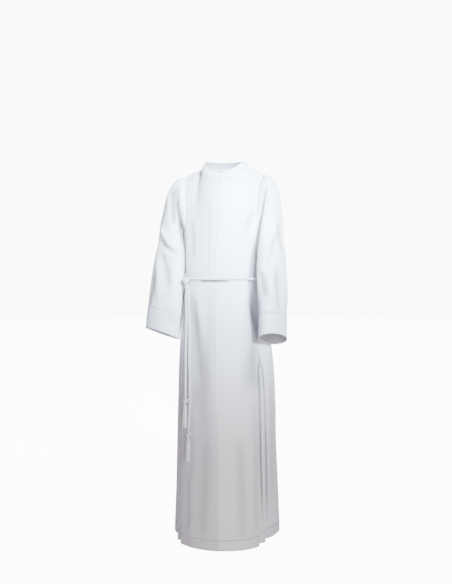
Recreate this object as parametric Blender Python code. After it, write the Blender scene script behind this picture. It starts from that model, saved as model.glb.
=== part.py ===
"""First communion robe for a child of nine or ten, worn shape, with its knotted rope cincture.

Metres. +X is the wearer's left, -Y the front, +Z up. The origin is the centre of the neck base at the
height of the side neck point, where the wearer's shoulders carry the robe.
Every cloth panel is a sheet with its wall inwards, so the sheet is the outer face of the cloth.
"""

from collections import namedtuple
from math import atan2, cos, pi, radians, sin

import bmesh
import bpy
import numpy as np
from mathutils import Vector

# Cloth and seams
CLOTH_WALL = 0.0015
LEAST_SPREAD = 0.62
SEAM_GAP = 0.0003
PLEAT_SEAM_GAP = 0.0009
HEM_STEP = 0.0006

# The sleeve's join to the body
ARMHOLE_HALF_DEPTH = 0.049
ARMHOLE_SEAM_GAP = 0.00048
UNDERARM_DROP = 0.0012

# Rows of the body from hem to underarm. Front, back and side are the Y of the outline at its middle
# front, middle back and widest place. Square is the outline's exponent, 2 for an ellipse. Pleat_1 and
# pleat_2 are the angles of the two front pleat edges from the middle front. The back has the first one.
# Underlap is how far a pleat's inner fold lies behind its edge, below 0 where it isn't folded yet.
Section = namedtuple(
    "Section",
    "z centre_x half_width front back side square twist pleat_1 pleat_2 underlap spread sink",
)
SECTIONS = [
    Section(-1.097, 0.000, 0.162, -0.184, 0.212, 0.040, 2.20, 8.0, 45.0, 58.5, 0.038, 1.8, 0.008),
    Section(-1.060, 0.000, 0.161, -0.182, 0.207, 0.039, 2.20, 7.9, 45.3, 58.7, 0.037, 1.8, 0.008),
    Section(-0.950, 0.000, 0.157, -0.175, 0.187, 0.034, 2.25, 7.3, 46.2, 59.2, 0.034, 1.7, 0.007),
    Section(-0.820, 0.000, 0.152, -0.164, 0.165, 0.028, 2.35, 6.6, 47.6, 59.8, 0.030, 1.5, 0.005),
    Section(-0.700, 0.000, 0.149, -0.151, 0.147, 0.023, 2.50, 5.0, 49.0, 60.5, 0.026, 1.4, 0.004),
    Section(-0.600, 0.000, 0.145, -0.139, 0.133, 0.018, 2.60, 3.3, 50.0, 61.5, 0.022, 1.2, 0.003),
    Section(-0.525, 0.000, 0.138, -0.128, 0.121, 0.013, 2.60, 2.3, 52.5, 64.0, 0.018, 1.1, 0.002),
    Section(-0.450, -0.004, 0.129, -0.116, 0.108, 0.008, 2.60, 1.3, 56.0, 68.0, 0.014, 1.0, 0.0),
    Section(-0.390, -0.007, 0.1195, -0.105, 0.093, 0.003, 2.65, 0.5, 59.5, 72.5, 0.010, 1.0, 0.0),
    Section(-0.346, -0.009, 0.1105, -0.0965, 0.0785, 0.0, 2.70, 0.0, 62.5, 76.0, 0.0068, 1.0, 0.0),
    Section(-0.333, -0.009, 0.1085, -0.095, 0.076, 0.0, 2.70, 0.0, 63.0, 76.5, 0.0060, 1.0, 0.0),
    Section(-0.320, -0.009, 0.1100, -0.096, 0.078, 0.0, 2.70, 0.0, 63.0, 77.0, 0.0052, 1.0, 0.0),
    Section(-0.280, -0.007, 0.1140, -0.0955, 0.082, 0.0, 2.65, 0.0, 62.5, 77.5, 0.0030, 1.0, 0.0),
    Section(-0.235, -0.005, 0.1180, -0.091, 0.082, 0.0, 2.60, 0.0, 62.0, 78.0, -0.005, 1.0, 0.0),
    Section(-0.190, -0.001, 0.1225, -0.087, 0.078, 0.0, 2.60, 0.0, 61.0, 78.0, -0.012, 1.0, 0.0),
]

# A pleat seen along its fold, from the visible cloth under the edge and out again: place along the
# outline and depth inwards, once folded and while still open. Along is in fold radii, and the points
# with behind at 1 lie that many underlaps back.
FOLD_RADIUS = 0.0025
OPEN_STEP = 0.003
FULL_UNDERLAP = 0.006
OPEN_UNDERLAP = 0.012
PleatPoint = namedtuple("PleatPoint", "along behind depth")
PLEAT = [
    PleatPoint(-1.0, 0, 0.0),
    PleatPoint(0.0, 0, 0.0022),
    PleatPoint(-0.9, 0, 0.0042),
    PleatPoint(0.5, 1, 0.0064),
    PleatPoint(0.0, 1, 0.0078),
    PleatPoint(1.0, 1, 0.0092),
    PleatPoint(3.0, 0, 0.0092),
]
SEAM_AT_PLEAT_POINT = 3

FRONT_COLUMNS = 9
BETWEEN_PLEATS_COLUMNS = 2
SIDE_COLUMNS = 3
BACK_SIDE_COLUMNS = 5

# Large folds of the skirt and sleeves: a soft trough or ridge along a line from top to foot, with its
# depth below 0 for a trough. Width is from the middle to where the fold has died away.
Fold = namedtuple("Fold", "top foot depth width")
SKIRT_FOLDS = [
    Fold((-0.074, -0.090, -0.430), (-0.046, -0.135, -0.600), -0.010, 0.030),
    Fold((-0.046, -0.135, -0.600), (-0.030, -0.150, -0.740), -0.006, 0.032),
    Fold((0.108, -0.070, -0.440), (0.086, -0.110, -0.640), -0.009, 0.028),
    Fold((0.030, -0.110, -0.400), (0.046, -0.140, -0.620), 0.005, 0.034),
    Fold((0.112, -0.040, -0.380), (0.136, -0.050, -0.560), -0.014, 0.045),
    Fold((0.086, 0.080, -0.400), (0.070, 0.120, -0.640), -0.009, 0.032),
    Fold((-0.060, 0.095, -0.400), (-0.070, 0.140, -0.700), -0.009, 0.034),
    Fold((0.006, 0.100, -0.420), (0.010, 0.150, -0.800), -0.008, 0.036),
]

# Upper body: lines of the middle front and back, the neckline and the armhole
UPPER_ROWS = 8
NECK_COLUMNS = 6
NECK_HALF_WIDTH = 0.073
NECK_FRONT_Y = -0.075
NECK_BACK_Y = 0.062
NECK_FRONT_Z = -0.042
NECK_BACK_Z = 0.006
SHOULDER_POINT = (0.120, 0.003, -0.017)
SHOULDER_RISE = 0.002
SHOULDER_WALL = (0, 0, -1)
CHEST_LINE = [(-0.002, -0.0885, -0.150), (-0.001, -0.088, -0.105), (0.0, -0.083, -0.070)]
BACK_LINE = [(-0.001, 0.081, -0.150), (0.0, 0.080, -0.100), (0.0, 0.073, -0.045)]
FRONT_ARMHOLE = [(0.1105, -0.051, -0.150), (0.111, -0.048, -0.110), (0.114, -0.036, -0.055)]
BACK_ARMHOLE = [(0.1135, 0.048, -0.150), (0.117, 0.046, -0.115), (0.1215, 0.033, -0.055)]

# Sleeve sections from the armhole to the cuff: the sleeve's outer and inner edge seen from the front,
# its middle Y, half its depth, how far it is turned to the side and how far its back edge hangs.
Oval = namedtuple("Oval", "outer_x outer_z inner_x inner_z middle_y half_depth turn droop")
LEFT_OVALS = [
    Oval(0.1310, -0.0215, 0.1275, -0.1945, -0.001, 0.052, 0, 0),
    Oval(0.1420, -0.0275, 0.1275, -0.2010, -0.003, 0.0545, -3, 0),
    Oval(0.1520, -0.0365, 0.1260, -0.2090, -0.006, 0.056, -7, 0),
    Oval(0.1605, -0.0550, 0.1235, -0.2180, -0.010, 0.058, -10, 1),
    Oval(0.1665, -0.0850, 0.1210, -0.2300, -0.014, 0.059, -13, 2),
    Oval(0.1700, -0.1250, 0.1190, -0.2450, -0.017, 0.060, -15, 3),
    Oval(0.1730, -0.1750, 0.1170, -0.2650, -0.020, 0.060, -16, 4),
    Oval(0.1760, -0.2300, 0.1145, -0.2880, -0.023, 0.061, -16, 5),
    Oval(0.1790, -0.2850, 0.1140, -0.3150, -0.027, 0.0615, -15, 6),
    Oval(0.1825, -0.3320, 0.1155, -0.3530, -0.033, 0.0625, -14, 8),
    Oval(0.1865, -0.3790, 0.1185, -0.3980, -0.039, 0.065, -12, 11),
    Oval(0.1905, -0.4260, 0.1225, -0.4460, -0.045, 0.068, -10, 15),
    Oval(0.1912, -0.4380, 0.1232, -0.4580, -0.046, 0.068, -10, 15),
    Oval(0.1935, -0.4980, 0.1250, -0.5180, -0.052, 0.070, -10, 15),
]
RIGHT_OVALS = [
    Oval(0.1320, -0.0175, 0.1285, -0.1945, -0.001, 0.052, 0, 0),
    Oval(0.1450, -0.0220, 0.1295, -0.2010, -0.003, 0.0545, -2, 0),
    Oval(0.1580, -0.0300, 0.1300, -0.2080, -0.005, 0.057, -6, 0),
    Oval(0.1710, -0.0480, 0.1300, -0.2160, -0.008, 0.060, -11, 1),
    Oval(0.1830, -0.0780, 0.1300, -0.2260, -0.011, 0.062, -17, 2),
    Oval(0.1925, -0.1180, 0.1305, -0.2380, -0.014, 0.063, -24, 3),
    Oval(0.2000, -0.1640, 0.1315, -0.2550, -0.017, 0.063, -31, 4),
    Oval(0.2060, -0.2160, 0.1330, -0.2760, -0.020, 0.063, -38, 4),
    Oval(0.2110, -0.2700, 0.1350, -0.3030, -0.023, 0.064, -44, 3),
    Oval(0.2160, -0.3220, 0.1380, -0.3420, -0.027, 0.066, -48, 1),
    Oval(0.2195, -0.3680, 0.1420, -0.3920, -0.031, 0.069, -50, -2),
    Oval(0.2225, -0.4105, 0.1460, -0.4425, -0.034, 0.0715, -51, -6),
    Oval(0.2232, -0.4225, 0.1466, -0.4545, -0.035, 0.0715, -51, -6),
    Oval(0.2275, -0.4820, 0.1515, -0.5140, -0.038, 0.074, -52, -6),
]
CUFF_STEP_ROW = 12
SLEEVE_SQUARE = 2.15
UNDERARM_COLUMNS = 6
SLEEVE_FOLDS = {
    1: [
        Fold((0.190, -0.060, -0.215), (0.135, -0.085, -0.330), -0.006, 0.018),
        Fold((0.165, -0.075, -0.330), (0.175, -0.095, -0.430), -0.005, 0.022),
    ],
    -1: [
        Fold((-0.200, -0.055, -0.180), (-0.165, -0.080, -0.275), -0.007, 0.018),
        Fold((-0.222, -0.050, -0.240), (-0.190, -0.085, -0.400), -0.006, 0.020),
        Fold((-0.175, -0.080, -0.290), (-0.160, -0.080, -0.330), -0.005, 0.018),
    ],
}

# Stand collar
COLLAR_RIM_RADIUS = 0.060
COLLAR_RIM_Y = -0.005
COLLAR_RIM_FRONT_Z = -0.0194
COLLAR_RIM_RISE = 0.046
COLLAR_RISE_RATE = 1.7
COLLAR_ROWS = 4
COLLAR_BULGE = 0.002

# Cincture
ROPE_RADIUS = 0.0033
ROPE_CLEARANCE = 0.0011
WAIST_Z = -0.333
LOOP_POINTS = 60
KNOT_ANGLE = -43.3
KNOT_RADIUS = 0.0095
KNOT_WRAPS = 3
KNOT_HALF_HEIGHT = 0.0105
KNOT_Z = -0.336
KNOT_GAP = 0.0006
KNOT_STAND_OFF = 0.0006
ENDS = {
    "a": [
        (-0.1000, -0.0809, -0.3477),
        (-0.0997, -0.0812, -0.3530),
        (-0.0955, -0.0865, -0.3700),
        (-0.0945, -0.0915, -0.4000),
        (-0.0930, -0.0950, -0.4400),
        (-0.0910, -0.1045, -0.4900),
        (-0.0882, -0.1175, -0.5500),
        (-0.0845, -0.1310, -0.6200),
        (-0.0810, -0.1420, -0.6640),
        (-0.0807, -0.1445, -0.6760),
    ],
    "b": [
        (-0.0950, -0.0861, -0.3477),
        (-0.0945, -0.0866, -0.3530),
        (-0.0870, -0.0925, -0.3700),
        (-0.0855, -0.0965, -0.4000),
        (-0.0830, -0.1000, -0.4400),
        (-0.0800, -0.1080, -0.4900),
        (-0.0765, -0.1200, -0.5500),
        (-0.0720, -0.1325, -0.6200),
        (-0.0680, -0.1450, -0.6900),
        (-0.0668, -0.1510, -0.7300),
        (-0.0667, -0.1575, -0.7600),
        (-0.0667, -0.1590, -0.7700),
    ],
}
ROPE_POINT_SPACING = 0.016
CURVE_STEPS = 20
END_KNOT_RADIUS = 0.0082
END_KNOT_HALF_HEIGHT = 0.0085
TASSEL_HEAD_RADIUS = 0.0062
TASSEL_HEAD_HEIGHT = 0.011
TASSEL_LENGTH = 0.070
STRAND_RINGS = {0.0016: 5, 0.0035: 10, 0.0053: 15}
STRAND_RADIUS = 0.00055
STRAND_SPLAY = 0.35
STRAND_SIDES = 4
STRAND_ROOT = 0.0015
STRAND_UNEVENNESS = 0.003
TASSEL_LEAN = 0.085

FABRIC_WHITE = (0.86, 0.87, 0.90, 1.0)
ROPE_WHITE = (0.88, 0.88, 0.89, 1.0)


def remove_all_objects():
    """Empty the file of its objects."""
    for obj in list(bpy.data.objects):
        bpy.data.objects.remove(obj, do_unlink=True)


def material(name, colour, roughness):
    """A plain surface of one colour."""
    surface = bpy.data.materials.new(name)
    surface.use_nodes = True
    shader = surface.node_tree.nodes["Principled BSDF"]
    shader.inputs["Base Color"].default_value = colour
    shader.inputs["Roughness"].default_value = roughness
    shader.inputs["Metallic"].default_value = 0.0
    surface.diffuse_color = colour
    return surface


def signed_power(value, power):
    return np.sign(value) * abs(value) ** power


class Outline:
    """The outer line of the body at one height, read by distance from the middle front."""

    SAMPLES = 1441

    def __init__(self, section):
        self.section = section
        angle = np.linspace(-pi, pi, self.SAMPLES)
        power = 2 / section.square
        depth = np.where(np.cos(angle) > 0, section.side - section.front, section.back - section.side)
        self.x = section.half_width * signed_power(np.sin(angle), power)
        self.y = section.side - depth * signed_power(np.cos(angle), power)
        steps = np.hypot(np.diff(self.x), np.diff(self.y))
        along = np.concatenate([[0.0], np.cumsum(steps)])
        self.along = along - along[self.SAMPLES // 2]
        self.angle = angle

    def distance(self, degrees):
        """Distance along the line from the middle front to an angle."""
        return float(np.interp(radians(degrees), self.angle, self.along))

    def point(self, along, depth):
        """The place this far along the line and this deep inside it, turned with the skirt."""
        section = self.section
        x = float(np.interp(along, self.along, self.x))
        y = float(np.interp(along, self.along, self.y)) - section.side
        reach = section.side - section.front if y < 0 else section.back - section.side
        power = section.square - 1
        out = Vector((signed_power(x / section.half_width, power) / section.half_width,
                      signed_power(y / reach, power) / reach, 0)).normalized()
        place = Vector((x, y + section.side, 0)) - out * depth
        turn = radians(section.twist)
        return (
            Vector((
                section.centre_x + place.x * cos(turn) - place.y * sin(turn),
                place.x * sin(turn) + place.y * cos(turn),
                section.z,
            )),
            Vector((out.x * cos(turn) - out.y * sin(turn), out.x * sin(turn) + out.y * cos(turn), 0)),
        )


def folded(point, out, folds):
    """A point of the cloth moved in or out by the folds that pass near it."""
    total = 0.0
    for fold in folds:
        top, foot = Vector(fold.top), Vector(fold.foot)
        line = foot - top
        share = max(0.0, min(1.0, (point - top).dot(line) / line.length_squared))
        away = (point - top - line * share).length
        total += fold.depth * max(0.0, 1 - (away / (1.5 * fold.width)) ** 2) ** 2
    return point + out * total


def pleat_points(section, edge, sink, front):
    """The seven places of one pleat on the outline: (distance along, depth), in order round the body."""
    share = min(1.0, max(0.0, 1 + section.underlap / OPEN_UNDERLAP))
    closed = min(1.0, max(0.0, section.underlap / FULL_UNDERLAP))
    places = []
    for index, row in enumerate(PLEAT):
        folded_at = row.along * FOLD_RADIUS * section.spread - row.behind * section.underlap
        open_at = (index - 3) * OPEN_STEP
        at = closed * folded_at + (1 - closed) * open_at
        places.append((edge + at, sink + row.depth * section.spread * share))
    if not front:
        places = [(2 * edge - at, depth) for at, depth in reversed(places)]
    return places


def quarter(outline, front):
    """Columns of one quarter of the body from the middle front or back to the side, on the wearer's left.

    Returns the columns of the main panel, which end at the seam inside the first pleat, and those of
    the side panel. The back is worked out as a front and turned round by its caller.
    """
    section = outline.section
    if front:
        first, second = outline.distance(section.pleat_1), outline.distance(section.pleat_2)
        side = outline.distance(90)
    else:
        whole = outline.distance(180)
        first = whole - outline.distance(180 - section.pleat_1)
        second = whole - outline.distance(180 - section.pleat_2)
        side = whole - outline.distance(90)
    pleat_1 = pleat_points(section, first, 0.0, True)
    pleat_2 = pleat_points(section, second, section.sink, True)
    start = pleat_1[0][0]
    panel = [(start * i / FRONT_COLUMNS, 0.0) for i in range(FRONT_COLUMNS)]
    panel[0] = (SEAM_GAP / 2 if front else 0.0, 0.0)
    panel += pleat_1[:SEAM_AT_PLEAT_POINT]
    before, after = pleat_1[SEAM_AT_PLEAT_POINT - 1], pleat_1[SEAM_AT_PLEAT_POINT]
    middle = [(a + b) / 2 for a, b in zip(before, after)]
    step = Vector((after[0] - before[0], after[1] - before[1])).normalized() * PLEAT_SEAM_GAP / 2
    panel.append((middle[0] - step.x, middle[1] - step.y))
    side_panel = [(middle[0] + step.x, middle[1] + step.y)] + pleat_1[SEAM_AT_PLEAT_POINT:]
    stops = [(BETWEEN_PLEATS_COLUMNS, pleat_2), (SIDE_COLUMNS, [(side, 0.0)])]
    for places, stretch in stops if front else [(BACK_SIDE_COLUMNS, [(side, 0.0)])]:
        (last, deep), (reach, depth) = side_panel[-1], stretch[0]
        for share in (i / (places + 1) for i in range(1, places + 1)):
            side_panel.append((last + (reach - last) * share, depth + (deep - depth) * (1 - share) ** 2))
        side_panel += stretch
    return panel, side_panel


def place(outline, along, depth, sign, front):
    """A column's point in space on either side of the body."""
    if not front:
        along = outline.distance(180) - along
    point, out = outline.point(sign * along, depth)
    return folded(point, out, SKIRT_FOLDS)


def curve_through(points, count):
    """Evenly spaced points on a smooth curve (Catmull-Rom) through the given ones, ends included."""
    known = [Vector(p) for p in points]
    known = [2 * known[0] - known[1]] + known + [2 * known[-1] - known[-2]]
    fine = []
    for a, b, c, d in zip(known, known[1:], known[2:], known[3:]):
        for i in range(CURVE_STEPS):
            t = i / CURVE_STEPS
            fine.append(0.5 * (2 * b + (c - a) * t + (2 * a - 5 * b + 4 * c - d) * t ** 2
                               + (3 * b - a - 3 * c + d) * t ** 3))
    fine.append(known[-2])
    along = np.concatenate([[0], np.cumsum([(q - p).length for p, q in zip(fine, fine[1:])])])
    wanted = np.linspace(0, along[-1], count)
    axes = [np.interp(wanted, along, [p[k] for p in fine]) for k in range(3)]
    return [Vector(p) for p in zip(*axes)]


def neck_point(degrees):
    """The neckline at an angle from the middle front, towards the wearer's left."""
    turn = radians(degrees)
    depth = -NECK_FRONT_Y if cos(turn) > 0 else NECK_BACK_Y
    drop = NECK_FRONT_Z if cos(turn) > 0 else NECK_BACK_Z
    return Vector((NECK_HALF_WIDTH * sin(turn), -depth * cos(turn), drop * cos(turn) ** 2))


def mirrored(point, sign):
    return Vector((point.x * sign, point.y, point.z))


def upper_rows(bottom, front, sign):
    """Rows of one upper quarter above the underarm: a patch between four border lines.

    The borders are the top row of the lower panel, the middle line, the armhole, and the neckline with
    the shoulder seam.
    """
    middle = CHEST_LINE if front else BACK_LINE
    armhole = FRONT_ARMHOLE if front else BACK_ARMHOLE
    seam = SEAM_GAP / 2 if front else 0.0
    shoulder = Vector(SHOULDER_POINT) + Vector((0, -SEAM_GAP / 2 if front else SEAM_GAP / 2, 0))
    columns = len(bottom)
    angles = [90 * i / NECK_COLUMNS if front else 180 - 90 * i / NECK_COLUMNS
              for i in range(NECK_COLUMNS + 1)]
    neckline = [neck_point(a) for a in angles]
    neckline[0].x = seam
    neckline[-1].y = -SEAM_GAP / 2 if front else SEAM_GAP / 2
    left = columns - 1 - NECK_COLUMNS
    top = list(neckline)
    for i in range(1, left + 1):
        share = i / left
        point = neckline[-1].lerp(shoulder, share)
        point.z += SHOULDER_RISE * 4 * share * (1 - share)
        top.append(point)
    top = [mirrored(p, sign) for p in top]
    inner = [mirrored(Vector(p) + Vector((seam, 0, 0)), sign) for p in middle]
    inner = curve_through([bottom[0]] + inner + [top[0]], UPPER_ROWS + 1)
    for point in inner[1:-1]:
        point.x = sign * seam + bottom[0].x * (1 - (point.z - bottom[0].z) / (top[0].z - bottom[0].z))
    outer = curve_through([bottom[-1]] + [mirrored(Vector(p), sign) for p in armhole] + [top[-1]],
                          UPPER_ROWS + 1)
    reach = np.cumsum([0] + [(b - a).length for a, b in zip(bottom, bottom[1:])])
    shares = reach / reach[-1]
    rows = []
    for j in range(1, UPPER_ROWS + 1):
        v = j / UPPER_ROWS
        row = []
        for i, u in enumerate(shares):
            across = bottom[i] * (1 - v) + top[i] * v
            up = inner[j] * (1 - u) + outer[j] * u
            corners = (bottom[0] * (1 - u) * (1 - v) + bottom[-1] * u * (1 - v)
                       + top[0] * (1 - u) * v + top[-1] * u * v)
            row.append(across + up - corners)
        rows.append(row)
    return rows


def cloth(name, rows, surface, closed=False, flip=False, seam_walls=None):
    """A cloth piece: a sheet through rows of points, given its wall inwards.

    Closed joins the last column to the first, and flip is for rows whose columns run the other way.
    Seam_walls gives, for a (row, column) on a seam, the way the wall goes there in place of the
    sheet's own normal, so that two pieces which meet at an angle share the plane of their seam.
    """
    bm = bmesh.new()
    grid = [[bm.verts.new(p) for p in row] for row in rows]
    for low, high in zip(grid, grid[1:]):
        for i in range(len(low) if closed else len(low) - 1):
            j = (i + 1) % len(low)
            face = [low[i], low[j], high[j], high[i]]
            bm.faces.new(reversed(face) if flip else face)
    bm.normal_update()
    inwards = {}
    for vert in bm.verts:
        spread = sum(vert.normal.dot(f.normal) for f in vert.link_faces) / len(vert.link_faces)
        inwards[vert] = -vert.normal * CLOTH_WALL / max(spread, LEAST_SPREAD)
    for (row, column), way in (seam_walls or {}).items():
        inwards[grid[row][column]] = Vector(way).normalized() * CLOTH_WALL
    rim = [edge for edge in bm.edges if edge.is_boundary]
    outer_faces = list(bm.faces)
    inner = {vert: bm.verts.new(vert.co + way) for vert, way in inwards.items()}
    for edge in rim:
        loop = edge.link_loops[0]
        a, b = loop.vert, loop.link_loop_next.vert
        bm.faces.new([b, a, inner[a], inner[b]])
    for face in outer_faces:
        bm.faces.new([inner[vert] for vert in reversed(face.verts)])
    return new_object(name, bm, surface)


def new_object(name, bm, surface):
    """A named object of the robe's collection from a finished bmesh."""
    mesh = bpy.data.meshes.new(name)
    bm.to_mesh(mesh)
    bm.free()
    mesh.shade_smooth()
    mesh.materials.append(surface)
    obj = bpy.data.objects.new(name, mesh)
    ROBE.objects.link(obj)
    return obj


def seam_ways(panel_rows, side_rows, panel_column, side_column, sign):
    """Wall directions of the two pieces that meet at the seam inside a pleat, the same for both.

    Sign is 1 where the outer side is on the right of the way from the panel to the side piece.
    """
    ways = []
    for panel_row, side_row in zip(panel_rows, side_rows):
        along = side_row[side_column] - panel_row[panel_column]
        ways.append(Vector((0, 0, sign)).cross(along.normalized()))
    panel = {(row, panel_column): way for row, way in enumerate(ways)}
    side = {(row, side_column): way for row, way in enumerate(ways)}
    return panel, side


def build_body(fabric):
    """The front halves, the back and the side panels."""
    outlines = [Outline(section) for section in SECTIONS]
    halves = []
    back_ways = []
    for side, sign in (("left", 1), ("right", -1)):
        front_rows, side_rows, back_rows = [], [], []
        for outline in outlines:
            panel, side_front = quarter(outline, True)
            back_panel, side_back = quarter(outline, False)
            front_rows.append([place(outline, a, d, sign, True) for a, d in panel])
            side_rows.append([place(outline, a, d, sign, True) for a, d in side_front]
                             + [place(outline, a, d, sign, False) for a, d in side_back[-2::-1]])
            back_rows.append([place(outline, a, d, sign, False) for a, d in back_panel])
        width, side_width = len(front_rows[0]), len(side_rows[0])
        front_ways, front_side_ways = seam_ways(front_rows, side_rows, width - 1, 0, sign)
        ways, back_side_ways = seam_ways(back_rows, side_rows, width - 1, side_width - 1, -sign)
        back_ways.append(ways)
        front_rows += upper_rows(front_rows[-1], True, sign)
        last = len(front_rows) - 1
        shoulder = {(last, column): SHOULDER_WALL for column in range(NECK_COLUMNS, width)}
        cloth(f"front_{side}", front_rows, fabric, flip=sign < 0, seam_walls=front_ways | shoulder)
        cloth(f"side_{side}", side_rows, fabric, flip=sign < 0,
              seam_walls=front_side_ways | back_side_ways)
        halves.append(back_rows + upper_rows(back_rows[-1], False, sign))
    whole = [right[::-1] + left[1:] for left, right in zip(*halves)]
    last, width = len(whole) - 1, len(whole[-1])
    middle = width // 2
    walls = {(last, c): SHOULDER_WALL for c in range(width) if abs(c - middle) >= NECK_COLUMNS}
    walls |= {(row, middle + column): way for (row, column), way in back_ways[0].items()}
    walls |= {(row, middle - column): way for (row, column), way in back_ways[1].items()}
    cloth("back", whole, fabric, flip=True, seam_walls=walls)


def armhole_loop(sign):
    """The armhole from the shoulder point down the front, under the arm and up the back."""
    outline = Outline(SECTIONS[-1])
    borders = []
    for front in (True, False):
        panel = quarter(outline, front)[0]
        bottom = [place(outline, a, d, sign, front) for a, d in panel]
        rows = [bottom] + upper_rows(bottom, front, sign)
        borders.append([row[-1] for row in rows])
    front_edge, back_edge = borders
    start = outline.distance(SECTIONS[-1].pleat_1)
    finish = outline.distance(180 - SECTIONS[-1].pleat_1)
    under = [outline.point(sign * (start + (finish - start) * i / UNDERARM_COLUMNS), 0.0)[0]
             for i in range(1, UNDERARM_COLUMNS)]
    return front_edge[::-1] + under + back_edge[:-1]


def build_sleeve(side, sign, ovals, fabric):
    """A set-in sleeve through its ovals, from the armhole to the cuff."""
    loop = armhole_loop(sign)
    top, bottom = Vector(SHOULDER_POINT), Vector((SHOULDER_POINT[0], 0, SECTIONS[-1].z))
    middle_z, half_height = (top.z + bottom.z) / 2, (top.z - bottom.z) / 2
    angles = [atan2(-p.y / ARMHOLE_HALF_DEPTH, (p.z - middle_z) / half_height) for p in loop]
    rows = []
    first = []
    for point, angle in zip(loop, angles):
        low = max(0.0, -cos(angle))
        first.append(point + Vector((sign * ARMHOLE_SEAM_GAP, 0, UNDERARM_DROP * low)))
    rows.append(first)
    power = 2 / SLEEVE_SQUARE
    for number, oval in enumerate(ovals):
        outer = Vector((oval.outer_x, 0, oval.outer_z))
        inner = Vector((oval.inner_x, 0, oval.inner_z))
        centre = (outer + inner) / 2 + Vector((0, oval.middle_y, 0))
        step = HEM_STEP if number >= CUFF_STEP_ROW else 0.0
        half = (outer - inner) / 2
        half += half.normalized() * step
        droop = radians(oval.droop)
        deep = Vector((0, -cos(droop), sin(droop))) * (oval.half_depth + step)
        turn = radians(oval.turn)
        row = []
        for angle in angles:
            offset = half * signed_power(cos(angle), power) + deep * signed_power(sin(angle), power)
            turned = Vector((offset.x * cos(turn) - offset.y * sin(turn),
                             offset.x * sin(turn) + offset.y * cos(turn), offset.z))
            point = mirrored(centre + turned, sign)
            row.append(folded(point, mirrored(turned, sign).normalized(), SLEEVE_FOLDS[sign]))
        rows.append(row)
    cloth(f"sleeve_{side}", rows, fabric, closed=True, flip=sign < 0)


def collar_rim(degrees):
    """The collar's rim at an angle from the middle front."""
    turn = radians(degrees)
    rise = min(COLLAR_RISE_RATE * abs(turn), pi)
    return Vector((COLLAR_RIM_RADIUS * sin(turn), COLLAR_RIM_Y - COLLAR_RIM_RADIUS * cos(turn),
                   COLLAR_RIM_FRONT_Z + COLLAR_RIM_RISE * (1 - cos(rise)) / 2))


def build_collar(fabric):
    """The stand collar, a strip whose ends meet at the middle front."""
    steps = 4 * NECK_COLUMNS
    rows = []
    for j in range(COLLAR_ROWS + 1):
        share = j / COLLAR_ROWS
        row = []
        for i in range(steps + 1):
            degrees = 360 * i / steps
            around = degrees if degrees <= 180 else degrees - 360
            if i in (0, steps):
                around = 0
            foot = neck_point(around)
            rim = collar_rim(around)
            point = foot.lerp(rim, share)
            out = Vector((point.x, point.y, 0)).normalized()
            point += out * COLLAR_BULGE * 4 * share * (1 - share)
            point.z += SEAM_GAP * 2 * (1 - share)
            if i == 0:
                point.x += SEAM_GAP / 2
            if i == steps:
                point.x -= SEAM_GAP / 2
            row.append(point)
        rows.append(row)
    cloth("collar", rows, fabric)


def rope(name, points, surface):
    """A round rope along a smooth line through the points, with flat ends."""
    data = bpy.data.curves.new(name, "CURVE")
    data.dimensions = "3D"
    data.bevel_depth = ROPE_RADIUS
    data.bevel_resolution = 2
    data.use_fill_caps = True
    spline = data.splines.new("POLY")
    spline.points.add(len(points) - 1)
    for target, point in zip(spline.points, points):
        target.co = (*point, 1.0)
    data.materials.append(surface)
    obj = bpy.data.objects.new(name, data)
    ROBE.objects.link(obj)
    return obj


def waist_point(degrees, extra):
    """The rope's middle line at an angle round the waist, held clear of the cloth."""
    outline = Outline(next(s for s in SECTIONS if s.z == WAIST_Z))
    return outline.point(outline.distance(degrees), -(ROPE_RADIUS + ROPE_CLEARANCE + extra))[0]


def knot_place():
    centre = waist_point(KNOT_ANGLE, KNOT_RADIUS - ROPE_RADIUS + KNOT_STAND_OFF)
    centre.z = KNOT_Z
    return centre


def build_loop(rope_white):
    """One turn of rope round the waist, from one side of the knot to the other."""
    knot = knot_place()
    fine = [waist_point((KNOT_ANGLE + 360 * i / 720 + 180) % 360 - 180, 0.0) for i in range(1, 720)]
    clear = KNOT_RADIUS + KNOT_GAP
    kept = [p for p in fine if Vector((p.x - knot.x, p.y - knot.y)).length > clear]
    along = np.cumsum([0] + [(b - a).length for a, b in zip(kept, kept[1:])])
    wanted = np.linspace(0, along[-1], LOOP_POINTS)
    axes = [np.interp(wanted, along, [p[k] for p in kept]) for k in range(3)]
    rope("cincture_loop", list(zip(*axes)), rope_white)


def turned(name, profile, centre, surface, sides=16):
    """A closed turned piece from a profile of (radius, height), run from its foot to its top."""
    bm = bmesh.new()
    verts = [bm.verts.new((centre[0] + r, centre[1], centre[2] + h)) for r, h in profile]
    edges = [bm.edges.new(pair) for pair in zip(verts, verts[1:])]
    bmesh.ops.spin(bm, geom=verts + edges, cent=centre, axis=(0, 0, 1), angle=2 * pi, steps=sides,
                   use_merge=True)
    bmesh.ops.remove_doubles(bm, verts=bm.verts, dist=0.00001)
    bmesh.ops.recalc_face_normals(bm, faces=bm.faces)
    return new_object(name, bm, surface)


def wrap_profile(radius, half_height, wraps):
    """A profile with one round bulge for each turn of rope, closed at both ends on the axis."""
    bulge = half_height / wraps
    profile = [(0.0, -half_height)]
    for wrap in range(wraps):
        middle = -half_height + bulge * (2 * wrap + 1)
        for step in range(5):
            angle = radians(-70 + 35 * step)
            profile.append((radius - bulge + bulge * cos(angle), middle + bulge * 0.98 * sin(angle)))
    profile.append((0.0, half_height))
    return profile


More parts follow.
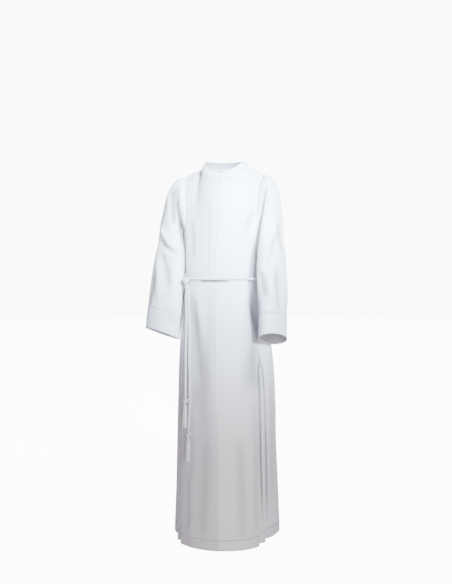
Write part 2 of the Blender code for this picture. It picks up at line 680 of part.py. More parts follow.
def build_tassel(label, top, rope_white):
    """A tassel: a domed head with its strands grown out of its flat foot."""
    profile = [(0.0, -TASSEL_HEAD_HEIGHT), (TASSEL_HEAD_RADIUS, -TASSEL_HEAD_HEIGHT)]
    for step in range(5):
        angle = radians(10 + 20 * step)
        profile.append((TASSEL_HEAD_RADIUS * cos(angle) * 0.97,
                        -TASSEL_HEAD_HEIGHT * 0.62 * (1 - sin(angle))))
    profile.append((0.0, 0.0))
    obj = turned(f"tassel_{label}", profile, tuple(top), rope_white, sides=12)
    for vert in obj.data.vertices:
        vert.co = leaning(vert.co, top)
    number = 0
    for ring, count in STRAND_RINGS.items():
        for i in range(count):
            number += 1
            angle = 2 * pi * (i + 0.37 * number % 1) / count
            strand(obj, top, ring, angle, number)


def leaning(point, top):
    """A tassel's point, leant forward as the skirt under it slopes."""
    return Vector((point.x, point.y + TASSEL_LEAN * (point.z - top.z), point.z))


def strand(head, top, ring, angle, number):
    """One strand, a slim bent prism rooted inside the head, joined to it by a union."""
    bm = bmesh.new()
    out = Vector((cos(angle), sin(angle), 0))
    root = Vector(top) + out * ring + Vector((0, 0, -TASSEL_HEAD_HEIGHT + STRAND_ROOT))
    length = TASSEL_LENGTH - TASSEL_HEAD_HEIGHT - STRAND_UNEVENNESS * (number * 0.618 % 1)
    circle = bmesh.ops.create_circle(bm, cap_ends=True, segments=STRAND_SIDES, radius=STRAND_RADIUS)
    bmesh.ops.translate(bm, verts=circle["verts"], vec=root)
    face = next(iter(bm.faces))
    if face.normal.z > 0:
        face.normal_flip()
    for share in (0.45, 1.0):
        made = bmesh.ops.extrude_discrete_faces(bm, faces=[face])
        face = made["faces"][0]
        wanted = root + out * ring * STRAND_SPLAY * share + Vector((0, 0, -length * share))
        middle = face.calc_center_median()
        bmesh.ops.translate(bm, verts=face.verts[:], vec=wanted - middle)
    for vert in bm.verts:
        vert.co = leaning(vert.co, top)
    bmesh.ops.holes_fill(bm, edges=bm.edges)
    bmesh.ops.recalc_face_normals(bm, faces=bm.faces)
    cutter = new_object(f"strand_{head.name}_{number}", bm, head.data.materials[0])
    cutter.hide_render = True
    cutter.display_type = "WIRE"
    GUIDES.objects.link(cutter)
    ROBE.objects.unlink(cutter)
    union = head.modifiers.new("Strand", "BOOLEAN")
    union.operation = "UNION"
    union.object = cutter


def build_cincture(rope_white):
    """The loop, its knot, and the two hanging ends with their knots and tassels."""
    build_loop(rope_white)
    turned("cincture_knot", wrap_profile(KNOT_RADIUS, KNOT_HALF_HEIGHT, KNOT_WRAPS),
           tuple(knot_place()), rope_white)
    for label, route in ENDS.items():
        length = sum((Vector(b) - Vector(a)).length for a, b in zip(route, route[1:]))
        points = curve_through(route, int(length / ROPE_POINT_SPACING))
        rope(f"cincture_end_{label}", points, rope_white)
        centre = Vector(points[-1]) - Vector((0, 0, END_KNOT_HALF_HEIGHT + KNOT_GAP))
        turned(f"end_knot_{label}", wrap_profile(END_KNOT_RADIUS, END_KNOT_HALF_HEIGHT, 2),
               tuple(centre), rope_white, sides=14)
        build_tassel(label, centre - Vector((0, 0, END_KNOT_HALF_HEIGHT + SEAM_GAP)), rope_white)


remove_all_objects()
ROBE = bpy.data.collections.new("First communion robe")
GUIDES = bpy.data.collections.new("Guides")
for group in (ROBE, GUIDES):
    bpy.context.scene.collection.children.link(group)

robe_fabric = material("robe_fabric", FABRIC_WHITE, 0.85)
cincture_rope = material("cincture_rope", ROPE_WHITE, 0.8)
build_body(robe_fabric)
build_sleeve("left", 1, LEFT_OVALS, robe_fabric)
build_sleeve("right", -1, RIGHT_OVALS, robe_fabric)
build_collar(robe_fabric)
build_cincture(cincture_rope)
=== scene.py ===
"""Looks of the first communion robe: dressed cloth, twisted rope belt, studio and camera.

Metres, in the robe's own frame: +X is the wearer's left, -Y the front, +Z up, and the origin is the
centre of the neck base.
"""

import logging
from dataclasses import dataclass, field
from enum import Enum
from math import atan2, cos, pi, radians, sin, sqrt
from typing import Iterable, Sequence

import bmesh
import bpy
import numpy as np
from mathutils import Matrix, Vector
from mathutils.bvhtree import BVHTree


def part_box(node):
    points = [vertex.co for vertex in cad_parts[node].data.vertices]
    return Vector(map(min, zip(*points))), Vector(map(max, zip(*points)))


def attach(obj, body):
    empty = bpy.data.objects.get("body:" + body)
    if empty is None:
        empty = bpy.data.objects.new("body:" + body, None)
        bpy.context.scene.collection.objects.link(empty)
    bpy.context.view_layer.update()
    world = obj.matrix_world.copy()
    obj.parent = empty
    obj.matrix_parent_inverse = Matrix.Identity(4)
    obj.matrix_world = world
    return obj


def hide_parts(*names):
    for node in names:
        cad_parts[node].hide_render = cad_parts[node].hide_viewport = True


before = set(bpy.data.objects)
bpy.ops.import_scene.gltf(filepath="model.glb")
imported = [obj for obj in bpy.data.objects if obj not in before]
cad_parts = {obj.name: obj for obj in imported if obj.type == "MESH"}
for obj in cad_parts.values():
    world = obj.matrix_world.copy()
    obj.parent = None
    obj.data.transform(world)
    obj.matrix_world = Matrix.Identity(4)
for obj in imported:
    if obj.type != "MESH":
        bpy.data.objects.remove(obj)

LOG = logging.getLogger("robe")
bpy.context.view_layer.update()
Point = tuple[float, float, float]
PHOTO_HEIGHT = 584
BELT_LINE = -0.338
SKIRT_TOP = -0.36
SHADE_PER_METRE = 80
CREASE_END_SHARE = 0.22
CREASE_END_LEAST = 0.15
SMOOTH_SHADED_BELOW = radians(58)
RAY_START = 1.0
GOLDEN_TURN = 0.618
ROUTE_STEPS = 20


class Side(Enum):
    """The side a crease is placed from, as the way of a ray towards the cloth."""

    FRONT = (0.0, 1.0, 0.0)
    BACK = (0.0, -1.0, 0.0)
    LEFT = (-1.0, 0.0, 0.0)
    RIGHT = (1.0, 0.0, 0.0)


class Group(Enum):
    """The cloth nodes that take their creases together."""

    BODY = ("front_right", "front_left", "side_right", "side_left", "back", "collar")
    SLEEVE_RIGHT = ("sleeve_right",)
    SLEEVE_LEFT = ("sleeve_left",)


@dataclass(frozen=True)
class Crease:
    """One soft trough (depth below 0) or ridge, drawn on the cloth from one side.

    The places are (x, z) from the front or back, and (y, z) from the wearer's left or right. The
    shade is how much the crease darkens the cloth, 0.08 for each millimetre of a trough unless given.
    """

    side: Side
    places: tuple[tuple[float, float], ...]
    width: float
    depth: float
    shade: float | None = None

    def on_cloth(self, trees: Sequence[BVHTree]) -> tuple[np.ndarray, np.ndarray] | None:
        """Finds the crease's points on the cloth and the way out of it.

        Args:
            trees: The search trees of the group's nodes.

        Returns:
            The points and one outward unit vector, or None where the cloth isn't met.
        """
        way = Vector(self.side.value)
        points, out = [], Vector()
        for along, height in self.places:
            start = Vector((along, 0, height)) if way.x == 0 else Vector((0, along, height))
            start -= way * RAY_START
            hits = [hit for hit in (tree.ray_cast(start, way) for tree in trees) if hit[0]]
            if not hits:
                continue
            nearest = min(hits, key=lambda hit: hit[3])
            points.append(nearest[0])
            out += nearest[1] if nearest[1].dot(way) < 0 else -nearest[1]
        if len(points) < 2:
            return None
        return np.array(points), np.array(out.normalized())


def smooth_step(value: np.ndarray) -> np.ndarray:
    """Eases a share from 0 to 1."""
    share = np.clip(value, 0.0, 1.0)
    return share * share * (3 - 2 * share)


def crease_shift(places: np.ndarray, crease: Crease,
                 trees: Sequence[BVHTree]) -> tuple[np.ndarray, np.ndarray]:
    """Works out how far one crease moves each point of the cloth, and how much it shades it.

    Args:
        places: The cloth's points, one a row.
        crease: The crease.
        trees: The search trees of the group's nodes.

    Returns:
        One move and one shade for each point.
    """
    found = crease.on_cloth(trees)
    if found is None:
        LOG.warning("a crease misses the cloth: %s", crease.places)
        return np.zeros_like(places), np.zeros(len(places))
    line, out = found
    steps = np.linalg.norm(np.diff(line, axis=0), axis=1)
    starts = np.concatenate([[0.0], np.cumsum(steps)])
    nearest = np.full(len(places), np.inf)
    share = np.zeros(len(places))
    for index, (a, b) in enumerate(zip(line, line[1:])):
        way = b - a
        t = np.clip((places - a) @ way / (way @ way), 0.0, 1.0)
        away = np.linalg.norm(places - a - t[:, None] * way, axis=1)
        closer = away < nearest
        nearest = np.where(closer, away, nearest)
        share = np.where(closer, (starts[index] + t * steps[index]) / starts[-1], share)
    ends = smooth_step(share / CREASE_END_SHARE) * smooth_step((1 - share) / CREASE_END_SHARE)
    ends = CREASE_END_LEAST + (1 - CREASE_END_LEAST) * ends
    profile = np.exp(-((nearest / crease.width) ** 2)) * ends
    shade = max(0.0, -crease.depth * SHADE_PER_METRE) if crease.shade is None else crease.shade
    return (crease.depth * profile)[:, None] * out, shade * profile


@dataclass(frozen=True)
class FabricFinish:
    """White twill of a light wool blend, with lengths in metres."""

    name: str = "robe_twill"
    colour: tuple[float, float, float, float] = (0.80, 0.815, 0.85, 1.0)
    shade: tuple[float, float, float, float] = (0.765, 0.775, 0.815, 1.0)
    # The painted shade's colour: creases, inner sides, pleat edges and sewn grooves are darkened towards
    # it.
    painted_shade: tuple[float, float, float, float] = (0.10, 0.095, 0.108, 1.0)
    roughness: float = 0.78
    sheen: float = 0.25
    sheen_roughness: float = 0.45
    specular: float = 0.25
    thread: float = 0.0008
    stitch: float = 0.0030
    # How much painted shade a sewn line's groove takes.
    stitch_shade: float = 0.50
    relief: float = 0.0011
    weave_relief: float = 0.05
    weave_tint: float = 0.35
    broad_scale: float = 9.0
    broad_relief: float = 2.2
    broad_tint: float = 0.30
    bump: float = 0.55


@dataclass(frozen=True)
class RopeFinish:
    """Twisted white cotton rope and its loose yarn."""

    name: str = "rope_cotton"
    colour: tuple[float, float, float, float] = (0.93, 0.93, 0.94, 1.0)
    # Painted shade in the grooves between the strands.
    groove: tuple[float, float, float, float] = (0.20, 0.20, 0.23, 1.0)
    roughness: float = 0.72
    sheen: float = 0.3
    specular: float = 0.3
    bump: float = 0.5
    relief: float = 0.0003
    fibre_scale: float = 900.0
    fibre_tint: float = 0.12


class NodeBuilder:
    """Small helper that places nodes in one tree and joins them."""

    def __init__(self, tree: bpy.types.NodeTree) -> None:
        """Keeps the tree to build in."""
        self.tree = tree

    def node(self, kind: str, **settings: object) -> bpy.types.Node:
        """Adds a node.

        Args:
            kind: Blender's name of the node type.
            settings: Values for the node's own properties.

        Returns:
            The node.
        """
        made = self.tree.nodes.new(kind)
        for key, value in settings.items():
            setattr(made, key, value)
        return made

    def join(self, source: bpy.types.NodeSocket, target: bpy.types.NodeSocket) -> None:
        """Links two sockets."""
        self.tree.links.new(source, target)

    def maths(self, operation: str, *values: object) -> bpy.types.NodeSocket:
        """Adds a Math node.

        Args:
            operation: Blender's name of the operation.
            values: Sockets or plain numbers, in order.

        Returns:
            The result's socket.
        """
        made = self.node("ShaderNodeMath", operation=operation)
        for index, value in enumerate(values):
            if isinstance(value, bpy.types.NodeSocket):
                self.join(value, made.inputs[index])
            else:
                made.inputs[index].default_value = value
        return made.outputs[0]

    def band(self, value: bpy.types.NodeSocket, low: float, high: float,
             soft: float) -> bpy.types.NodeSocket:
        """Makes a mask that is 1 between two values.

        Args:
            value: The value that is tested.
            low: Where the mask begins.
            high: Where it ends.
            soft: How far it fades to each side of both places.

        Returns:
            The mask's socket.
        """
        rise = self.map(value, low - soft, low + soft, 0.0, 1.0)
        fall = self.map(value, high - soft, high + soft, 1.0, 0.0)
        return self.maths("MULTIPLY", rise, fall)

    def map(self, value: bpy.types.NodeSocket, low: float, high: float, new_low: float,
            new_high: float) -> bpy.types.NodeSocket:
        """Eases a value from one range to another.

        Args:
            value: The value.
            low: The start of its own range.
            high: The end of its own range.
            new_low: The start of the new range.
            new_high: The end of the new range.

        Returns:
            The eased value's socket.
        """
        made = self.node("ShaderNodeMapRange", interpolation_type="SMOOTHSTEP")
        self.join(value, made.inputs["Value"])
        for key, number in (("From Min", low), ("From Max", high), ("To Min", new_low),
                            ("To Max", new_high)):
            made.inputs[key].default_value = number
        return made.outputs["Result"]


class FabricShader:
    """Builds the cloth's materials and the node groups they share.

    A sewn line's bands are given as (start, end, soft edge) across it, in metres.
    """

    GROOVE = (-0.0022, 0.0006, 0.0010)
    RIDGE = (0.0010, 0.0055, 0.0016)
    THREAD = (-0.00035, 0.00035, 0.0002)
    DASH = (0.16, 0.84, 0.10)

    def __init__(self, finish: FabricFinish) -> None:
        """Builds the shared groups for a finish.

        Args:
            finish: The cloth's finish.
        """
        self.finish = finish
        self.weave = self.weave_group()
        self.stitches = self.stitch_group()

    @staticmethod
    def group(name: str, inputs: Iterable[str], outputs: Iterable[str]) -> bpy.types.NodeTree:
        """Makes an empty node group.

        Args:
            name: The group's name.
            inputs: Its inputs, all numbers but the one named Vector.
            outputs: Its outputs, all numbers.

        Returns:
            The group.
        """
        tree = bpy.data.node_groups.new(name, "ShaderNodeTree")
        for label in inputs:
            kind = "NodeSocketVector" if label == "Vector" else "NodeSocketFloat"
            tree.interface.new_socket(label, in_out="INPUT", socket_type=kind)
        for label in outputs:
            tree.interface.new_socket(label, in_out="OUTPUT", socket_type="NodeSocketFloat")
        return tree

    def weave_group(self) -> bpy.types.NodeTree:
        """Makes twill ribs crossed by a fine weft, with slubs in the yarn.

        Returns:
            The group, with outputs Height and Tint.
        """
        tree = self.group("Twill weave", ("Vector", "Thread"), ("Height", "Tint"))
        build = NodeBuilder(tree)
        enter, leave = build.node("NodeGroupInput"), build.node("NodeGroupOutput")
        scale = build.maths("DIVIDE", 1.0, enter.outputs["Thread"])
        scaled = build.node("ShaderNodeVectorMath", operation="SCALE")
        build.join(enter.outputs["Vector"], scaled.inputs[0])
        build.join(scale, scaled.inputs["Scale"])
        split = build.node("ShaderNodeSeparateXYZ")
        build.join(scaled.outputs[0], split.inputs[0])
        diagonal = build.maths("ADD", split.outputs["X"], split.outputs["Y"])
        rib = build.maths("SINE", build.maths("MULTIPLY", diagonal, pi))
        weft = build.maths("SINE", build.maths("MULTIPLY", split.outputs["Y"], 4 * pi))
        slubs = build.node("ShaderNodeTexNoise")
        slubs.inputs["Scale"].default_value = 0.35
        slubs.inputs["Detail"].default_value = 3.0
        build.join(scaled.outputs[0], slubs.inputs["Vector"])
        woven = build.maths("ADD", build.maths("MULTIPLY", rib, 0.7), build.maths("MULTIPLY", weft, 0.3))
        build.join(build.maths("ADD", woven, build.maths("MULTIPLY", slubs.outputs["Fac"], 1.5)),
                   leave.inputs["Height"])
        build.join(slubs.outputs["Fac"], leave.inputs["Tint"])
        return tree

    def stitch_group(self) -> bpy.types.NodeTree:
        """Makes one sewn line: a groove with a thread's dashes in it and a soft ridge beside it.

        Returns:
            The group, with outputs Height and GrooveShade, the painted shade in the groove, less where
            the thread's dashes lie.
        """
        tree = self.group("Sewn line", ("Distance", "Along", "Stitch"), ("Height", "GrooveShade"))
        build = NodeBuilder(tree)
        enter, leave = build.node("NodeGroupInput"), build.node("NodeGroupOutput")
        distance = enter.outputs["Distance"]
        groove = build.band(distance, *self.GROOVE)
        ridge = build.band(distance, *self.RIDGE)
        thread = build.band(distance, *self.THREAD)
        beat = build.maths("FRACT", build.maths("DIVIDE", enter.outputs["Along"],
                                                enter.outputs["Stitch"]))
        dash = build.band(beat, *self.DASH)
        sewn = build.maths("MULTIPLY", thread, dash)
        height = build.maths("SUBTRACT", build.maths("MULTIPLY", ridge, 0.6), groove)
        build.join(build.maths("ADD", height, build.maths("MULTIPLY", sewn, 0.45)),
                   leave.inputs["Height"])
        # Painted shade in the groove, less where the thread's dashes lie.
        build.join(build.maths("SUBTRACT", groove, build.maths("MULTIPLY", sewn, 0.6)),
                   leave.inputs["GrooveShade"])
        return tree

    def sewn_line(self, build: NodeBuilder, distance: bpy.types.NodeSocket, along: bpy.types.NodeSocket,
                  reach: tuple[float, float]) -> tuple[bpy.types.NodeSocket, bpy.types.NodeSocket]:
        """Places one sewn line in a material.

        Args:
            build: The material's node builder.
            distance: The distance from the line.
            along: The distance along it.
            reach: Where along it the line begins and ends.

        Returns:
            The sockets of its height and of its painted groove shade, both 0 away from the line.
        """
        sewn = build.node("ShaderNodeGroup", node_tree=self.stitches)
        build.join(distance, sewn.inputs["Distance"])
        build.join(along, sewn.inputs["Along"])
        sewn.inputs["Stitch"].default_value = self.finish.stitch
        where = build.band(along, *reach, 0.002)
        return (build.maths("MULTIPLY", sewn.outputs["Height"], where),
                build.maths("MULTIPLY", sewn.outputs["GrooveShade"], where))

    def material(self, name: str, lines: Sequence[tuple[str, float, float, float]]) -> bpy.types.Material:
        """Makes one cloth material with its sewn lines.

        Args:
            name: The material's name.
            lines: For each line (axis, place, lowest, highest): axis is "v" for a height above the
                edge on the cloth's own map, or "x" for a distance from the middle front, and the line
                runs between the two values of the other direction.

        Returns:
            The material.
        """
        finish = self.finish
        made = bpy.data.materials.new(name)
        made.use_nodes = True
        build = NodeBuilder(made.node_tree)
        shader = made.node_tree.nodes["Principled BSDF"]
        shader.inputs["Roughness"].default_value = finish.roughness
        shader.inputs["Sheen Weight"].default_value = finish.sheen
        shader.inputs["Sheen Roughness"].default_value = finish.sheen_roughness
        shader.inputs["Specular IOR Level"].default_value = finish.specular
        cloth_map = build.node("ShaderNodeUVMap", uv_map="cloth")
        place = build.node("ShaderNodeTexCoord")
        weave = build.node("ShaderNodeGroup", node_tree=self.weave)
        build.join(cloth_map.outputs["UV"], weave.inputs["Vector"])
        weave.inputs["Thread"].default_value = finish.thread
        broad = build.node("ShaderNodeTexNoise")
        broad.inputs["Scale"].default_value = finish.broad_scale
        broad.inputs["Detail"].default_value = 4.0
        stretched = build.node("ShaderNodeMapping")
        stretched.inputs["Scale"].default_value = (1.0, 1.0, 0.45)
        build.join(place.outputs["Object"], stretched.inputs["Vector"])
        build.join(stretched.outputs["Vector"], broad.inputs["Vector"])
        uv = build.node("ShaderNodeSeparateXYZ")
        build.join(cloth_map.outputs["UV"], uv.inputs[0])
        spot = build.node("ShaderNodeSeparateXYZ")
        build.join(place.outputs["Object"], spot.inputs[0])
        height = build.maths("ADD", build.maths("MULTIPLY", weave.outputs["Height"], finish.weave_relief),
                             build.maths("MULTIPLY", broad.outputs["Fac"], finish.broad_relief))
        groove_shade: bpy.types.NodeSocket | None = None
        for axis, at, low, high in lines:
            across, along = (uv.outputs["Y"], uv.outputs["X"]) if axis == "v" else (
                spot.outputs["X"], spot.outputs["Z"])
            raised, line_shade = self.sewn_line(build, build.maths("SUBTRACT", across, at), along, (low, high))
            height = build.maths("ADD", height, raised)
            groove_shade = line_shade if groove_shade is None else build.maths("MAXIMUM", groove_shade, line_shade)
        colour = build.node("ShaderNodeMix", data_type="RGBA")
        colour.inputs["A"].default_value = finish.colour
        colour.inputs["B"].default_value = finish.shade
        tint = build.maths("MULTIPLY", weave.outputs["Tint"], finish.weave_tint)
        tint = build.maths("ADD", tint, build.maths("MULTIPLY", broad.outputs["Fac"], finish.broad_tint))
        build.join(tint, colour.inputs["Factor"])
        # Painted shade: the painted_shade attribute and the sewn lines' groove shade darken the cloth's
        # colour towards the painted shade colour.
        folded = build.node("ShaderNodeMix", data_type="RGBA")
        painted_shade = build.node("ShaderNodeAttribute", attribute_name="painted_shade")
        shaded = painted_shade.outputs["Fac"]
        if groove_shade is not None:
            shaded = build.maths("MAXIMUM", shaded, build.maths("MULTIPLY", groove_shade, finish.stitch_shade))
        build.join(shaded, folded.inputs["Factor"])
        build.join(colour.outputs["Result"], folded.inputs["A"])
        folded.inputs["B"].default_value = finish.painted_shade
        build.join(folded.outputs["Result"], shader.inputs["Base Color"])
        bump = build.node("ShaderNodeBump")
        bump.inputs["Strength"].default_value = finish.bump
        bump.inputs["Distance"].default_value = finish.relief
        build.join(height, bump.inputs["Height"])
        build.join(bump.outputs["Normal"], shader.inputs["Normal"])
        return made


def rope_material(finish: RopeFinish) -> bpy.types.Material:
    """Makes the rope's material: pale yarn, with painted shade in the grooves between its strands.

    Args:
        finish: The rope's finish.

    Returns:
        The material.
    """
    made = bpy.data.materials.new(finish.name)
    made.use_nodes = True
    build = NodeBuilder(made.node_tree)
    shader = made.node_tree.nodes["Principled BSDF"]
    shader.inputs["Roughness"].default_value = finish.roughness
    shader.inputs["Sheen Weight"].default_value = finish.sheen
    shader.inputs["Specular IOR Level"].default_value = finish.specular
    depth = build.node("ShaderNodeAttribute", attribute_name="crown")
    place = build.node("ShaderNodeTexCoord")
    fibres = build.node("ShaderNodeTexNoise")
    fibres.inputs["Scale"].default_value = finish.fibre_scale
    fibres.inputs["Detail"].default_value = 2.0
    build.join(place.outputs["Object"], fibres.inputs["Vector"])
    colour = build.node("ShaderNodeMix", data_type="RGBA")
    colour.inputs["A"].default_value = finish.groove
    colour.inputs["B"].default_value = finish.colour
    # Painted shade: the grooves between the strands take the shaded groove colour, the crowns the yarn's.
    crown = build.map(depth.outputs["Fac"], 0.66, 0.98, 0.0, 1.0)
    mottling = build.maths("MULTIPLY", fibres.outputs["Fac"], finish.fibre_tint)
    mottled = build.maths("SUBTRACT", crown, mottling)
    build.join(mottled, colour.inputs["Factor"])
    build.join(colour.outputs["Result"], shader.inputs["Base Color"])
    bump = build.node("ShaderNodeBump")
    bump.inputs["Strength"].default_value = finish.bump
    bump.inputs["Distance"].default_value = finish.relief
    build.join(fibres.outputs["Fac"], bump.inputs["Height"])
    build.join(bump.outputs["Normal"], shader.inputs["Normal"])
    return made


def add_object(name: str, mesh: bpy.types.Mesh, material: bpy.types.Material) -> bpy.types.Object:
    """Puts a mesh in the scene as a smooth-shaded object with sharp edges where it folds.

    Args:
        name: The object's name.
        mesh: Its mesh, in place.
        material: Its only material.

    Returns:
        The object.
    """
    mesh.materials.clear()
    mesh.materials.append(material)
    mesh.shade_smooth()
    mesh.set_sharp_from_angle(angle=SMOOTH_SHADED_BELOW)
    made = bpy.data.objects.new(name, mesh)
    bpy.context.scene.collection.objects.link(made)
    return made


def evaluated_mesh(source: bpy.types.Object) -> bpy.types.Mesh:
    """Takes an object's mesh with its modifiers or bevel applied.

    Args:
        source: The object, which is removed.

    Returns:
        The mesh.
    """
    bpy.context.view_layer.update()
    graph = bpy.context.evaluated_depsgraph_get()
    mesh = bpy.data.meshes.new_from_object(source.evaluated_get(graph))
    bpy.data.objects.remove(source, do_unlink=True)
    return mesh


def node_tree_of(name: str) -> BVHTree:
    """Builds the search tree of a CAD node's surface.

    Args:
        name: The node's name.

    Returns:
        The tree.
    """
    bm = bmesh.new()
    bm.from_mesh(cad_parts[name].data)
    tree = BVHTree.FromBMesh(bm)
    bm.free()
    return tree


@dataclass
class ClothPanel:
    """One cut piece of the robe, dressed from its CAD solid.

    The flat size and area are those of the cut that shows. Cloth above eased_above is smoothed,
    shade_all_over is a painted shade over the whole piece, and closes_front moves its centre-front
    edge towards the other side.
    """

    node: str
    group: Group
    flat: tuple[float, float]
    area: float
    held: str
    rests_on: tuple[str, ...]
    cuff_line: float = 0.0
    eased_above: float = 1.0
    shade_all_over: float = 0.0
    closes_front: float = 0.0
    weld: float = 0.00002
    levels: int = 2
    longest_edge: float = 0.0060
    detail_edge: float = 0.0022
    detail_reach: float = 0.009
    sharp_fold: float = radians(68)
    seam_fold: float = radians(50)
    easing_passes: int = 24
    rim_zone: float = 0.09
    rim_sectors: int = 24
    body_radius: float = 0.13
    sleeve_radius: float = 0.045
    inner_painted_shade: float = 0.58
    pleat_painted_shade: float = 0.62
    hem_clear: float = 0.012
    inner_facing: float = -0.25
    pleat_from: float = 0.05
    front_edge: float = 0.0008
    skirt_hang: float = 0.0011
    chest_hang: float = 0.0004
    sleeve_hang: float = 0.0009
    turned_up: float = 0.0007
    puffed: float = 0.0013
    sewn_down: float = 0.0012

    def quads(self) -> bpy.types.Mesh:
        """Makes a welded copy of the CAD node, with quads in place of its triangle pairs.

        Returns:
            The copy's mesh, with its sharp edges marked.
        """
        bm = bmesh.new()
        bm.from_mesh(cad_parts[self.node].data)
        bmesh.ops.remove_doubles(bm, verts=bm.verts, dist=self.weld)
        bmesh.ops.join_triangles(bm, faces=bm.faces, angle_face_threshold=radians(35),
                                 angle_shape_threshold=radians(179))
        bm.normal_update()
        sharp = bm.edges.layers.float.new("crease_edge")
        for edge in bm.edges:
            if edge.is_manifold and edge.calc_face_angle() > self.sharp_fold:
                edge[sharp] = 1.0
        mesh = bpy.data.meshes.new(self.node + "_cloth")
        bm.to_mesh(mesh)
        bm.free()
        return mesh

    def fine(self) -> bpy.types.Mesh:
        """Subdivides the welded copy smoothly and splits it again where its faces are long.

        Returns:
            The fine mesh, with an attribute that is 1 on its folded edges.
        """
        rough = bpy.data.objects.new(self.node + "_rough", self.quads())
        bpy.context.scene.collection.objects.link(rough)
        smooth = rough.modifiers.new("Smooth", "SUBSURF")
        smooth.levels = smooth.render_levels = self.levels
        mesh = evaluated_mesh(rough)
        bm = bmesh.new()
        bm.from_mesh(mesh)
        for _ in range(3):
            long_edges = [e for e in bm.edges if e.calc_length() > self.longest_edge]
            if long_edges:
                bmesh.ops.subdivide_edges(bm, edges=long_edges, cuts=1, use_grid_fill=True)
        away = self.away_from_detail(np.array([vertex.co for vertex in bm.verts]))
        near = [e for e in bm.edges if e.calc_length() > self.detail_edge
                and min(away[e.verts[0].index], away[e.verts[1].index]) < self.detail_reach]
        if near:
            bmesh.ops.subdivide_edges(bm, edges=near, cuts=1, use_grid_fill=True)
        bm.normal_update()
        seam = bm.verts.layers.float.new("seam")
        folded = {v for e in bm.edges if not e.is_manifold or e.calc_face_angle() > self.seam_fold
                  for v in e.verts}
        for vertex in folded:
            vertex[seam] = 1.0
        loose = [v for v in bm.verts if v not in folded and v.co.z > self.eased_above]
        for _ in range(self.easing_passes if loose else 0):
            bmesh.ops.smooth_vert(bm, verts=loose, factor=0.5, use_axis_x=True, use_axis_y=True,
                                  use_axis_z=True)
        bm.to_mesh(mesh)
        bm.free()
        return mesh

    def away_from_detail(self, places: np.ndarray) -> np.ndarray:
        """Measures how far each point is from the line that needs finer mesh.

        Args:
            places: The points, one a row.

        Returns:
            The distance from the belt's line on the body, and from the cuff's on a sleeve.
        """
        if self.group is Group.BODY:
            return np.abs(places[:, 2] - BELT_LINE)
        return np.abs(self.above_edge(places) - self.cuff_line)

    def above_edge(self, places: np.ndarray) -> np.ndarray:
        """Measures each point's height above the piece's lower edge.

        Args:
            places: The points, one a row.

        Returns:
            The height above the hem, or above the plane of a cuff's slanted edge.
        """
        if self.node == "collar":
            return places[:, 2] + 0.045
        if self.group is Group.BODY:
            return places[:, 2] - places[:, 2].min()
        low = places[places[:, 2] < places[:, 2].min() + self.rim_zone]
        middle = (low.min(axis=0) + low.max(axis=0)) / 2
        turn = np.arctan2(low[:, 1] - middle[1], low[:, 0] - middle[0])
        rim = []
        half = pi / self.rim_sectors
        for sector in range(self.rim_sectors):
            inside = low[np.abs(turn - ((2 * sector + 1) * half - pi)) < half]
            if len(inside):
                rim.append(inside[inside[:, 2].argmin()])
        rim = np.array(rim)
        _, _, ways = np.linalg.svd(rim - rim.mean(axis=0))
        way = ways[2] if ways[2][2] > 0 else -ways[2]
        return (places - rim.mean(axis=0)) @ way

    def map_cloth(self, mesh: bpy.types.Mesh, places: np.ndarray) -> None:
        """Gives the mesh its cloth map: metres round it and metres above its hem or cuff.

        Args:
            mesh: The fine mesh.
            places: Its undisturbed points.
        """
        if self.group is Group.BODY:
            facing = 1.0 if self.node == "back" else -1.0
            around = np.arctan2(places[:, 0], facing * places[:, 1]) * self.body_radius
        else:
            middle = self.middle_line(places)
            around = np.arctan2(places[:, 0] - middle[:, 0], -(places[:, 1] - middle[:, 1]))
            around = around * self.sleeve_radius
        above = self.above_edge(places)
        layer = mesh.uv_layers.new(name="cloth")
        corner = np.empty(len(mesh.loops), dtype=np.int32)
        mesh.loops.foreach_get("vertex_index", corner)
        layer.data.foreach_set("uv", np.stack([around[corner], above[corner]], axis=1).ravel())

    def inner_shade(self, mesh: bpy.types.Mesh, places: np.ndarray) -> np.ndarray:
        """Works out the painted shade of the cloth's inner side, and of the pleat edges below the belt.

        Args:
            mesh: The fine mesh.
            places: Its undisturbed points.

        Returns:
            One shade for each point.
        """
        normals = np.empty(len(places) * 3)
        mesh.vertices.foreach_get("normal", normals)
        normals = normals.reshape(-1, 3)
        seam = np.empty(len(places))
        mesh.attributes["seam"].data.foreach_get("value", seam)
        middle = np.zeros_like(places) if self.group is Group.BODY else self.middle_line(places)
        away = places - middle
        away /= np.maximum(np.linalg.norm(away[:, :2], axis=1), 0.001)[:, None]
        inside = np.einsum("ij,ij->i", normals[:, :2], away[:, :2]) < self.inner_facing
        shade = np.where(inside & (seam < 0.5), self.inner_painted_shade, 0.0)
        if self.group is Group.BODY and self.node != "collar":
            skirt = (places[:, 2] < SKIRT_TOP) & (self.above_edge(places) > self.hem_clear)
            pleat = skirt & (np.abs(places[:, 0]) > self.pleat_from)
            shade = np.maximum(shade, self.pleat_painted_shade * seam * pleat)
        return shade

    def middle_line(self, places: np.ndarray) -> np.ndarray:
        """Finds the sleeve's middle at each point's height.

        Args:
            places: The points, one a row.

        Returns:
            The middle for each point.
        """
        order = np.argsort(places[:, 2])
        count = 40
        cuts = np.array_split(order, count)
        heights = np.array([places[cut, 2].mean() for cut in cuts])
        middles = np.array([(places[cut].min(axis=0) + places[cut].max(axis=0)) / 2 for cut in cuts])
        return np.stack([np.interp(places[:, 2], heights, middles[:, axis]) for axis in range(3)], axis=1)

